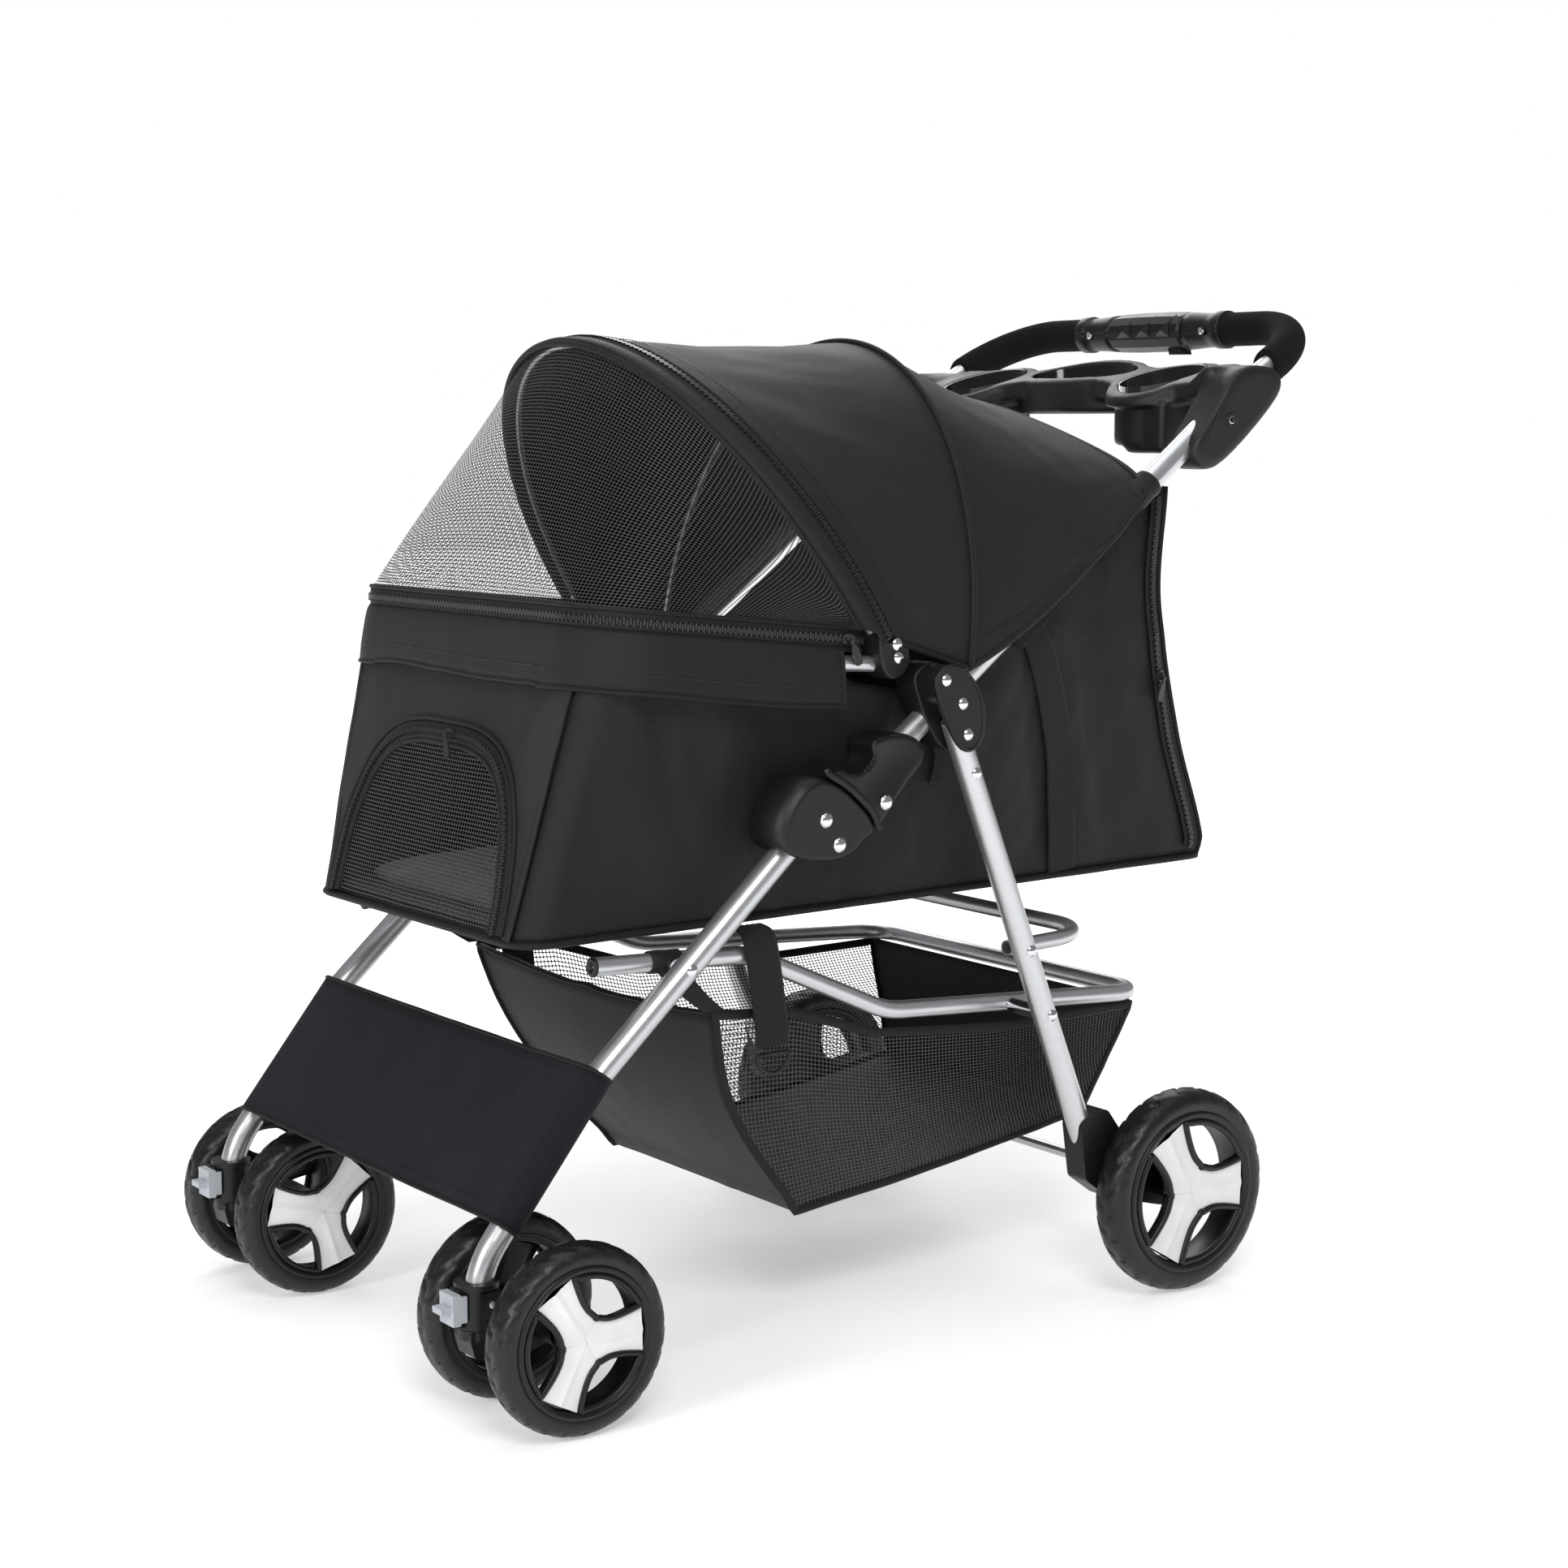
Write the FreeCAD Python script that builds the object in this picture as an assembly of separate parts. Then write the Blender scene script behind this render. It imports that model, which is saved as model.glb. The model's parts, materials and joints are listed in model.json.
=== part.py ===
"""Folding four-station pet stroller: tube frame, fabric cabin, canopy, basket and six wheels.

Lengths are millimetres. +Z is up, +X is one side of the stroller and the handle is towards +Y.
Everything is laid out from the front caster axis (Y = 0 there) and moved by SHIFT_Y when it is
saved, so that the origin is on the floor under the middle of the bounding box.
"""
import FreeCAD, Part
import math
import os

os.makedirs("parts", exist_ok=True)

# ---------------------------------------------------------------- driving dimensions
SHIFT_Y = -456.5              # caster axis to the middle of the overall length

TUBE_R = 11.0                 # main frame tube, outside radius
TUBE_WALL = 1.3
SMALL_R = 8.0                 # basket frame tube
RAIL_R = 7.0                  # cabin rim rail and hoop bar
BOW_R = 3.5                   # canopy bow wire
PIN_R = 4.0                   # rivets and pivot pins
RUN = 0.05                    # radial running clearance of a pin in its hole
SNUG = 0.02                   # radial gap of a sleeve on a tube

LEG_X = 228.0                 # middle of the handle tube and front leg
REAR_LEG_X = 252.0            # middle of the rear leg, outside the handle tube
BASKET_X = 200.0              # middle of the basket tube, inside the front leg
CASTER_X = 228.0

FOLD_Y, FOLD_Z = 342.0, 442.0             # front leg fold pivot
REAR_Y, REAR_Z = 466.0, 529.0             # rear leg pivot on the side bracket
BASKET_Y, BASKET_Z = 570.0, 270.0         # basket frame pivot on the rear leg
LINK_Y, LINK_Z = 199.5, 349.0             # basket frame rest point on the front leg
BOW_Y, BOW_Z = 404.0, 608.0               # front bow pivot
TUBE_SLOPE = 37.45                        # handle tube angle above the floor, degrees

FRONT_R, FRONT_W = 78.0, 34.0             # front wheel radius and width
REAR_R, REAR_W = 94.0, 36.0               # rear wheel radius and width
TRAIL = 58.0                              # front axle behind the swivel axis
TWIN = 55.0                               # front wheel middle to swivel axis
REAR_AXLE_Y = 709.0
REAR_WHEEL_X = 284.0
AXLE_R = 4.0

CABIN_LOW_W, CABIN_TOP_W = 187.0, 212.0   # cabin half widths, bottom and rim
CABIN_LOW_Z, CABIN_TOP_Z = 373.0, 600.0
FABRIC = 3.0                              # thickness of the plain fabric solids
CUP_R, CUP_X, CUP_Y = 41.0, 132.0, 816.0  # cup holder bore
CUP_FLOOR_Z, TRAY_TOP_Z = 776.0, 846.0

SIDES = {"left": -1, "right": 1}


# ---------------------------------------------------------------- small helpers
def vec(x, y, z):
    return FreeCAD.Vector(x, y, z)


def save(node, *shapes):
    """Write one node, moved to the row's origin."""
    solids = [solid for shape in shapes for solid in shape.Solids]
    shape = Part.makeCompound(solids) if len(solids) > 1 else solids[0]
    shape = shape.copy()
    shape.translate(vec(0, SHIFT_Y, 0))
    assert shape.isValid(), node
    shape.exportStep("parts/%s.step" % node)
    BOXES.append(shape.BoundBox)
    print("%-22s solids %2d  volume %9.1f" % (node, len(solids), shape.Volume))


BOXES = []


def mirror(shape):
    return shape.mirror(vec(0, 0, 0), vec(1, 0, 0))


def on_side(shape, side):
    """The +X shape, or its mirror image."""
    return shape if side > 0 else mirror(shape)


def both(shape):
    return [shape, mirror(shape)]


def fillet_path(points, radius, closed=False):
    """Straight runs joined by tangent arcs; radius is one number or one per corner."""
    count = len(points)
    corners = range(count) if closed else range(1, count - 1)
    radii = radius if isinstance(radius, (list, tuple)) else [radius] * len(corners)
    joins = {}
    for index, bend in zip(corners, radii):
        before, here, after = points[index - 1], points[index], points[(index + 1) % count]
        into = (here - before).normalize()
        out = (after - here).normalize()
        half = into.getAngle(out) / 2.0
        if bend <= 0 or half < 1e-4:
            joins[index] = (here, None, here)
            continue
        cut = bend * math.tan(half)
        inward = (out - into).normalize()
        middle = here + inward * (bend / math.cos(half) - bend)
        joins[index] = (here - into * cut, middle, here + out * cut)
    edges = []
    order = list(range(count)) + ([0] if closed else [])
    start = joins[0][2] if closed else points[0]
    for index in order[1:]:
        end, middle, leave = joins.get(index, (points[index], None, points[index]))
        if (end - start).Length > 1e-6:
            edges.append(Part.makeLine(start, end))
        if middle is not None:
            edges.append(Part.Arc(end, middle, leave).toShape())
        start = leave
    return Part.Wire(edges)


def sweep(path, radius):
    edge = path.Edges[0]
    ring = Part.Wire(Part.makeCircle(radius, edge.valueAt(edge.FirstParameter),
                                     edge.tangentAt(edge.FirstParameter)))
    return path.makePipeShell([ring], True, False)


def tube(points, radius, wall, bend):
    """A hollow round tube along filleted runs."""
    path = fillet_path(points, bend)
    return sweep(path, radius).cut(sweep(path, radius - wall))


def solid_bar(points, radius, bend):
    return sweep(fillet_path(points, bend), radius)


def pin(x0, x1, y, z, radius):
    return Part.makeCylinder(radius, x1 - x0, vec(x0, y, z), vec(1, 0, 0))


def rivet(x0, x1, y, z):
    """A shank along X with a domed head on its outer end."""
    head = Part.makeSphere(7.0, vec(x1 - 4.6, y, z))
    cap = head.common(Part.makeBox(8, 20, 20, vec(x1, y - 10, z - 10)))
    return pin(x0, x1, y, z, PIN_R).fuse(cap)


def plate_yz(points, x0, x1, bend=0.0):
    """A side-view outline, with rounded corners, as a slab from x0 to x1."""
    path = fillet_path([vec(x0, y, z) for y, z in points], bend, closed=True)
    return Part.Face(path).extrude(vec(x1 - x0, 0, 0))


def plate_xy(points, z0, z1, bend=0.0):
    path = fillet_path([vec(x, y, z0) for x, y in points], bend, closed=True)
    return Part.Face(path).extrude(vec(0, 0, z1 - z0))


def polar(centre, radius, degrees):
    """A (y, z) point at an angle measured from +Y towards +Z."""
    angle = math.radians(degrees)
    return (centre[0] + radius * math.cos(angle), centre[1] + radius * math.sin(angle))


def spun(profile, x, y, z, side):
    """A profile of (offset along X, radius) points turned about the X axis at (x, y, z)."""
    points = [vec(x + side * offset, y, z + radius) for offset, radius in profile]
    face = Part.Face(Part.Wire([Part.makeLine(points[i - 1], points[i]) for i in range(len(points))]))
    solid = face.revolve(vec(x, y, z), vec(1, 0, 0), 360)
    return solid if solid.Volume > 0 else Part.Solid(solid.Shells[0].reversed())


# ---------------------------------------------------------------- frame tubes
def handle_line(y):
    """Height of the handle tube's middle line at y, on its straight run."""
    return 556.0 + math.tan(math.radians(TUBE_SLOPE)) * (y - 468.0)


HANDLE_FOOT_Y = 396.0
HANDLE_POINTS = [vec(LEG_X, HANDLE_FOOT_Y, handle_line(HANDLE_FOOT_Y)),
                 vec(LEG_X, 806.0, handle_line(806.0)),
                 vec(LEG_X - 6, 930.0, 886.0)]
HANDLE_POINTS += [vec(-p.x, p.y, p.z) for p in reversed(HANDLE_POINTS)]
HANDLE_BENDS = [180.0, 78.0, 78.0, 180.0]

LEG_POINTS = [vec(LEG_X, 0, 98), vec(LEG_X, 0, 128), vec(LEG_X, 105, 262),
              vec(LEG_X, FOLD_Y - 32, 446.4)]
LEG_BENDS = [80.0, 300.0]

REAR_DIR = (0.3705, -0.9288)
REAR_TOP = (REAR_Y - 13 * REAR_DIR[0], REAR_Z - 13 * REAR_DIR[1])
REAR_FOOT = (REAR_Y + 440 * REAR_DIR[0], REAR_Z + 440 * REAR_DIR[1])

BASKET_POINTS = [vec(BASKET_X, 128, 354), vec(BASKET_X, 282, 348), vec(BASKET_X, 430, 281),
                 vec(BASKET_X, 736, 262), vec(-BASKET_X, 736, 262), vec(-BASKET_X, 430, 281),
                 vec(-BASKET_X, 282, 348), vec(-BASKET_X, 128, 354)]
BASKET_BENDS = [90.0, 90.0, 34.0, 34.0, 90.0, 90.0]

RAIL_POINTS = [vec(222, 422, 589), vec(214, 139, 602), vec(-214, 139, 602), vec(-222, 422, 589)]
HOOP_POINTS = [vec(234, 540, 330), vec(226, 655, 332), vec(-226, 655, 332), vec(-234, 540, 330)]
RAIL_BEND, HOOP_BEND = 60.0, 62.0
RAIL_WALL = 1.2


def handle_tube():
    path = fillet_path(HANDLE_POINTS, HANDLE_BENDS)
    return sweep(path, TUBE_R).cut(sweep(path, TUBE_R - TUBE_WALL))


def handle_core():
    """The handle tube without its bore, for cutting holes round it."""
    return sweep(fillet_path(HANDLE_POINTS, HANDLE_BENDS), TUBE_R + SNUG)


def handle_sleeve(radius, box):
    """A sleeve on the handle tube, trimmed to a box."""
    path = fillet_path(HANDLE_POINTS, HANDLE_BENDS)
    return sweep(path, radius).cut(handle_core()).common(box)


# ---------------------------------------------------------------- handle and tray
GRIP_HALF = 104.0             # half length of the plastic centre grip
FOAM_START_Y = 857.0


def foam():
    box = Part.makeBox(400, 200, 300, vec(GRIP_HALF + 0.5, FOAM_START_Y, 700))
    return both(handle_sleeve(16.5, box))


def grip(upper):
    """One half shell of the centre grip, with end collars and three raised ridges."""
    y, z = 930.0, 886.0
    body = Part.makeCylinder(18.5, 2 * 70, vec(-70, y, z), vec(1, 0, 0))
    for side in (1, -1):
        neck = Part.makeCone(18.5, 16.0, 22, vec(side * 70, y, z), vec(side, 0, 0))
        collar = Part.makeCylinder(18.5, 12, vec(side * 92, y, z), vec(side, 0, 0))
        body = body.fuse(neck).fuse(collar)
    for x in (-28, 0, 28):
        ridge = Part.makeCone(13, 3, 5, vec(x, y - 17, z), vec(0, -1, 0))
        body = body.fuse(ridge)
    body = body.cut(handle_core())
    half = Part.makeBox(400, 80, 40, vec(-200, y - 40, z if upper else z - 40))
    body = body.common(half)
    for x in (-82, 82):
        body = body.cut(Part.makeCylinder(2.5, 80, vec(x, y - 40, z), vec(0, 1, 0)))
    return body


TRAY_OUTLINE = [(-216, 796), (216, 796), (216, 850), (150, 874), (-150, 874), (-216, 850)]
TRAY_SHELL = 3.5              # wall of the moulded tray, open underneath


def tray():
    """Moulded tray: slab, two cup wells, a middle well and a clamp round each handle tube."""
    low = TRAY_TOP_Z - 30
    slab = plate_xy(TRAY_OUTLINE, low, TRAY_TOP_Z, 12)
    shrink = FreeCAD.Matrix()
    shrink.scale(1 - 2 * TRAY_SHELL / 432, 1 - 2 * TRAY_SHELL / 78, 1)
    shrink.move(vec(0, 2 * TRAY_SHELL / 78 * 835, -TRAY_SHELL))
    body = slab.cut(slab.transformGeometry(shrink))
    for side in (1, -1):
        body = body.fuse(Part.makeCylinder(CUP_R + 8, TRAY_TOP_Z - low, vec(side * CUP_X, CUP_Y, low)))
        body = body.fuse(Part.makeCylinder(CUP_R + 3, TRAY_TOP_Z - CUP_FLOOR_Z + 3,
                                           vec(side * CUP_X, CUP_Y, CUP_FLOOR_Z - 3)))
        box_well = Part.makeBox(60, 60, 36, vec(side * 150 - 30, 775, 766))
        body = body.fuse(box_well)
        clamp = plate_yz([(742, 772), (757, 749), (786, 756), (856, 817), (856, 836),
                          (846, TRAY_TOP_Z), (790, TRAY_TOP_Z)], 211, 248, 7)
        body = body.fuse(on_side(clamp, side))
    middle = plate_xy([(-74, 800), (74, 800), (74, 868), (-74, 868)], low - 16, TRAY_TOP_Z, 30)
    body = body.fuse(middle)
    body = body.cut(plate_xy([(-71, 803), (71, 803), (71, 865), (-71, 865)],
                             low - 13, TRAY_TOP_Z + 1, 27))
    for side in (1, -1):
        body = body.cut(Part.makeCylinder(CUP_R, 100, vec(side * CUP_X, CUP_Y, CUP_FLOOR_Z)))
    body = body.cut(handle_core())
    return body.cut(fasteners_upper()).removeSplitter()


# ---------------------------------------------------------------- side bracket, hinge, bows
BRACKET = [(427, 583), (454, 594), (483, 566), (486, 527), (470, 511), (453, 519), (432, 560)]
BRACKET_X = (212.0, 240.2, 264.0, 268.5)   # inner cheek, slot start, plate start, plate face
HINGE = [(390, 622), (416, 624), (425.5, 606), (425.5, 580), (396, 574)]
BRACKET_RIVETS = [(441.5, 577.0), (460.0, 556.0)]
HINGE_RIVET = (412.0, 596.0)


def bow(y, z, top_y, top_z, half_width, radius=BOW_R, grow=0.0):
    """A half-ellipse bow wire from one pivot side to the other."""
    return sweep(Part.Wire([arch_edge(y, z, top_y, top_z, half_width, grow)]), radius)


def arch_edge(y, z, top_y, top_z, half_width, grow=0.0):
    """Half-ellipse from +X to -X over the apex, as one smooth curve."""
    rise = vec(0, top_y - y, top_z - z)
    high = rise.Length + grow
    rise = rise.normalize()
    points = []
    for step in range(13):
        angle = math.pi * step / 12
        points.append(vec((half_width + grow) * math.cos(angle), y, z)
                      + rise * (high * math.sin(angle)))
    curve = Part.BSplineCurve()
    curve.interpolate(points)
    return curve.toShape()


FRONT_TOP = (235.0, 862.0)
MID_FOOT, MID_TOP = (474.0, 574.0), (524.0, 862.0)
REAR_EDGE_FOOT, REAR_EDGE_TOP = (700.0, 748.0), (712.0, 786.0)
BOW_HALF = 244.0
CANOPY_FOOT = (387.0, 634.0)
CANOPY_FRONT_TOP = (236.0, 857.0)
CANOPY_MID_FOOT, CANOPY_MID_TOP = (478.0, 616.0), (519.0, 857.0)


def side_bracket():
    inner, slot, face, outer = BRACKET_X
    cheek = plate_yz(BRACKET, inner, slot, 8)
    upper = plate_yz(BRACKET, slot, face, 8).common(Part.makeBox(60, 80, 60, vec(slot, 420, 549.5)))
    plate = plate_yz(BRACKET, face, outer, 8)
    body = cheek.fuse(upper).fuse(plate).cut(handle_core())
    body = body.cut(pin(200, 280, REAR_Y, REAR_Z, PIN_R))
    for y, z in BRACKET_RIVETS:
        body = body.cut(pin(200, 280, y, z, PIN_R))
    return body.cut(mid_bow()).removeSplitter()


def rail_hinge():
    """The plastic knuckle at the end of the rim rail, which carries the front bow's pivot."""
    body = plate_yz(HINGE, 212, 240, 6)
    body = body.cut(rail_core()).cut(pin(200, 260, HINGE_RIVET[0], HINGE_RIVET[1], PIN_R))
    return body.cut(pin(200, 260, BOW_Y, BOW_Z, PIN_R)).removeSplitter()


def rail_core():
    return solid_bar(RAIL_POINTS, RAIL_R, RAIL_BEND)


def mid_bow():
    return bow(MID_FOOT[0], MID_FOOT[1], MID_TOP[0], MID_TOP[1], BOW_HALF)


def front_bow():
    """The bow wire with a flat eye on each end."""
    wire = bow(BOW_Y, BOW_Z, FRONT_TOP[0], FRONT_TOP[1], BOW_HALF)
    for side in (1, -1):
        eye = Part.makeCylinder(7.0, 7.0, vec(side * 240.5, BOW_Y, BOW_Z), vec(side, 0, 0))
        wire = wire.fuse(eye)
    for side in (1, -1):
        foot = vec(side * 200, BOW_Y, BOW_Z)
        wire = wire.cut(Part.makeCylinder(PIN_R + RUN, 60, foot, vec(side, 0, 0)))
    return wire.removeSplitter()


def fasteners_upper():
    """Rivets, pins and screws fixed in the upper frame, as separate solids."""
    found = []
    for y, z in BRACKET_RIVETS:
        found += both(rivet(210, BRACKET_X[3], y, z))
    found += both(rivet(210, BRACKET_X[3], REAR_Y, REAR_Z))
    found += both(rivet(210, 240, HINGE_RIVET[0], HINGE_RIVET[1]))
    found += both(rivet(210, 248, BOW_Y, BOW_Z))
    found += both(rivet(205, 250.5, FOLD_Y, FOLD_Z))
    found += both(rivet(239.02, 248, 793, 797))
    for x in (-82, 82):
        screw = Part.makeCylinder(2.5, 5.4, vec(x, 930 - 18.5, 886), vec(0, 1, 0))
        found.append(screw)
    return Part.makeCompound(found)


# ---------------------------------------------------------------- fold lock
PIVOT = (FOLD_Y, FOLD_Z)
LOCK_EDGE = [(12, 40), (35, 40), (60, 40), (80, 46), (100, 57)]    # (angle, radius) about the pivot
LEG_BACK = [(297, 435), (279, 446), (280, 464), (289, 483), (303, 498), (317, 503)]
SHELL_X = (206.0, 250.0)
SLOT_X = (216.7, 239.3)
LINK_RIVET = (328.0, 464.0)


def lock_shell():
    """Lower lock shell: two cheeks about the knuckle, closed round the leg tube."""
    edge = [polar(PIVOT, radius - 0.6, angle) for angle, radius in reversed(LOCK_EDGE)]
    low = [(368, 444), (357, 434), (341, 429), (320, 430)]
    body = plate_yz(LEG_BACK + edge + low, SHELL_X[0], SHELL_X[1], 3)
    along = (LEG_POINTS[2] - LEG_POINTS[3]).normalize()
    slot = Part.makeBox(SLOT_X[1] - SLOT_X[0], 200, 200, vec(SLOT_X[0], -100, 0))
    turn = math.degrees(math.atan2(along.z, along.y)) + 90
    slot.rotate(vec(0, 0, 0), vec(1, 0, 0), turn)
    slot.translate(vec(0, FOLD_Y + along.y * 15, FOLD_Z + along.z * 15) - vec(0, 0, 0))
    body = body.cut(slot)
    body = body.cut(sweep(fillet_path(LEG_POINTS, LEG_BENDS), TUBE_R))
    body = body.cut(pin(200, 260, FOLD_Y, FOLD_Z, PIN_R + RUN))
    return body.cut(pin(200, 260, LINK_RIVET[0], LINK_RIVET[1], PIN_R)).removeSplitter()


def lock_knuckle():
    """Tongue on the foot of the handle tube, held by the fold pin."""
    tip = polar(PIVOT, 11.5, -120)
    top = handle_line(HANDLE_FOOT_Y)
    outline = [tip, polar(PIVOT, 12, -55), (HANDLE_FOOT_Y + 10, top - 9), (HANDLE_FOOT_Y - 2, top + 9),
               polar(PIVOT, 13, 110), polar(PIVOT, 12, 175)]
    tongue = plate_yz(outline, 218.5, 237.5, 3)
    tongue = tongue.cut(sweep(fillet_path(HANDLE_POINTS, HANDLE_BENDS), TUBE_R + SNUG))
    plug = sweep(fillet_path(HANDLE_POINTS[:2], []), TUBE_R - TUBE_WALL)
    plug = plug.common(Part.makeBox(60, 20, 60, vec(200, HANDLE_FOOT_Y - 10, 460)))
    body = tongue.fuse(plug)
    return body.cut(pin(200, 260, FOLD_Y, FOLD_Z, PIN_R)).removeSplitter()


def release_sleeve():
    """Winged grip that slides up the handle tube to free the lock."""
    edge = [polar(PIVOT, radius + 0.6, angle) for angle, radius in LOCK_EDGE]
    outline = edge + [(347, 507), (356, 501), (372, 506), (383, 515), (380, 525), (394, 531),
                      (424, 531), (441, 511), (412, 484), (390, 457)]
    body = plate_yz(outline, SHELL_X[0] + 2, 242.5, 3)
    along = (HANDLE_POINTS[1] - HANDLE_POINTS[0]).normalize()
    cavity = sweep(fillet_path([HANDLE_POINTS[0] - along * 16, HANDLE_POINTS[1]], []), TUBE_R + 0.25)
    body = body.cut(cavity)
    tongue_room = plate_yz([(365, 425), (414, 482), (416, 520), (392, 516), (330, 462)],
                           217.5, 238.5)
    return body.cut(tongue_room).removeSplitter()


# ---------------------------------------------------------------- front legs and casters
def front_leg():
    path = fillet_path(LEG_POINTS, LEG_BENDS)
    body = sweep(path, TUBE_R).cut(sweep(path, TUBE_R - TUBE_WALL))
    body = body.cut(pin(200, 260, LINK_Y, LINK_Z, PIN_R))
    return body.cut(pin(200, 260, LINK_RIVET[0], LINK_RIVET[1], PIN_R))


def leg_fasteners():
    """Rivets of the front legs, with the spacers that the basket frame rests beside."""
    found = both(rivet(205, 250.5, LINK_RIVET[0], LINK_RIVET[1]))
    spacer = Part.makeCylinder(7, 6.5, vec(210, LINK_Y, LINK_Z), vec(1, 0, 0))
    spacer = spacer.cut(sweep(fillet_path(LEG_POINTS, LEG_BENDS), TUBE_R))
    found += both(rivet(210, LEG_X + TUBE_R + 0.4, LINK_Y, LINK_Z).fuse(spacer))
    found += both(Part.makeCylinder(3, 4, vec(LEG_X + 15, 4, 106), vec(1, 0, 0)))
    return found


SOCKET_LOW, SOCKET_TOP = 85.0, 122.0
LEVER_Z = (91.0, 116.0)


def caster_socket():
    """Collar and housing fixed on the foot of the front leg."""
    body = Part.makeCylinder(15.5, SOCKET_TOP - SOCKET_LOW, vec(CASTER_X, 0, SOCKET_LOW))
    body = body.fuse(Part.makeCylinder(18.0, 5, vec(CASTER_X, 0, SOCKET_TOP - 5)))
    guide = Part.makeBox(14, 12, 30, vec(CASTER_X - 7, -19.5, SOCKET_LOW + 3))
    body = body.fuse(guide)
    ear = Part.makeBox(9, 18, 22, vec(CASTER_X + 9, -5, SOCKET_LOW + 9))
    body = body.fuse(ear)
    body = body.cut(sweep(fillet_path(LEG_POINTS, LEG_BENDS), TUBE_R))
    body = body.cut(Part.makeCylinder(6 + RUN, 14, vec(CASTER_X, 0, SOCKET_LOW - 1)))
    body = body.cut(Part.makeCylinder(3, 4, vec(LEG_X + 15, 4, 106), vec(1, 0, 0)))
    return body.removeSplitter()


def swivel_lock():
    """Small lever on the front of the housing, pushed down to hold the caster straight."""
    x = CASTER_X
    body = Part.makeBox(22, 7, LEVER_Z[1] - LEVER_Z[0], vec(x - 11, -27, LEVER_Z[0]))
    for side in (1, -1):
        corner = vec(x - 1.75 + side * 9.25, -20, LEVER_Z[0] + 2)
        cheek = Part.makeBox(3.5, 5.5, LEVER_Z[1] - LEVER_Z[0] - 4, corner)
        body = body.fuse(cheek)
    tab = Part.makeBox(15, 9, 5, vec(x - 7.5, -35.5, 101))
    return body.fuse(tab).removeSplitter()


def caster_fork():
    """Trailing arm that swivels under the housing."""
    x = CASTER_X
    body = Part.makeCylinder(15.5, 8, vec(x, 0, 76.6))
    body = body.fuse(Part.makeCylinder(6, 20, vec(x, 0, 76.6)))
    arm = plate_yz([(-13, 76.8), (-9, 62), (30, 56), (58, 64), (72, 70), (72, 86), (58, 92), (44, 84.4),
                    (-12, 84.4)], x - 13, x + 13, 4)
    reach = TWIN - FRONT_W / 2 - 1.5
    boss = Part.makeCylinder(13, 2 * reach, vec(x - reach, TRAIL, FRONT_R), vec(1, 0, 0))
    body = body.fuse(arm).fuse(boss)
    return body.cut(pin(x - 100, x + 100, TRAIL, FRONT_R, AXLE_R)).removeSplitter()


def front_axle():
    reach = TWIN + FRONT_W / 2 - 5
    return pin(CASTER_X - reach, CASTER_X + reach, TRAIL, FRONT_R, AXLE_R)


def leg_panel():
    """Plain sheet between the front legs, on the front of the tubes."""
    low, high = (24.0, 168.0), (108.0, 276.0)
    drop = (-9.5, 7.4)
    outline = [low, high, (high[0] + drop[0] * 0.25, high[1] + drop[1] * 0.25),
               (low[0] + drop[0] * 0.25, low[1] + drop[1] * 0.25)]
    return plate_yz(outline, -214.0, 214.0)


# ---------------------------------------------------------------- wheels
def wheel_parts(radius, width, x, y, z, side):
    """Tyre, moulded core and three-arm cover; side is the outward direction."""
    half = width / 2
    bead = radius * 0.80
    tyre = spun([(-half + 1, bead), (-half, radius * 0.86), (-half + 3, radius * 0.955),
                 (-half + 9, radius * 0.992), (0, radius), (half - 9, radius * 0.992),
                 (half - 3, radius * 0.955), (half, radius * 0.86), (half - 1, bead)], x, y, z, side)
    rim_in = radius * 0.70
    core = spun([(-half + 2, rim_in + 2), (-half + 2, bead), (half - 2, bead), (half - 2, rim_in + 2),
                 (half - 4, rim_in), (-half + 4, rim_in)], x, y, z, side)
    disc = spun([(half - 11, AXLE_R), (half - 11, rim_in + 1), (half - 5, rim_in + 1), (half - 5, AXLE_R)],
                x, y, z, side)
    hub = spun([(-half + 1.2, AXLE_R), (-half + 1.2, 12), (half - 6, 15), (half - 6, AXLE_R)],
               x, y, z, side)
    for arm in range(3):
        disc = disc.cut(spoke_gap(radius, half, x, y, z, side, 30 + 120 * arm))
    core = core.fuse(disc).fuse(hub)
    core = core.cut(pin(x - 40, x + 40, y, z, AXLE_R + RUN))
    cover = spoke_cover(radius, half, x, y, z, side)
    return tyre, core.removeSplitter(), cover


def wheel_slab(outline, x0, x1, y, z, turn):
    """An outline of (radius, sideways) points, turned about the wheel's middle."""
    angle = math.radians(turn)
    points = [(y + r * math.cos(angle) - t * math.sin(angle), z + r * math.sin(angle) + t * math.cos(angle))
              for r, t in outline]
    return plate_yz(points, min(x0, x1), max(x0, x1))


def spoke_gap(radius, half, x, y, z, side, turn):
    reach = radius * 0.66
    outline = [(radius * 0.24, -2), (reach * 0.62, -reach * 0.62), (reach * 0.86, -reach * 0.52),
               (reach, 0), (reach * 0.86, reach * 0.52), (reach * 0.62, reach * 0.62), (radius * 0.24, 2)]
    return wheel_slab(outline, x + side * (half - 14), x + side * half, y, z, turn)


def spoke_cover(radius, half, x, y, z, side):
    reach = radius * 0.67
    arm = [(0, -radius * 0.10), (radius * 0.3, -radius * 0.09), (reach, -radius * 0.17), (reach * 1.02, 0),
           (reach, radius * 0.17), (radius * 0.3, radius * 0.09), (0, radius * 0.10)]
    body = None
    for index in range(3):
        piece = wheel_slab(arm, x + side * (half - 4.9), x + side * (half - 1.5), y, z, 90 + 120 * index)
        body = piece if body is None else body.fuse(piece)
    return body.removeSplitter()


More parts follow.
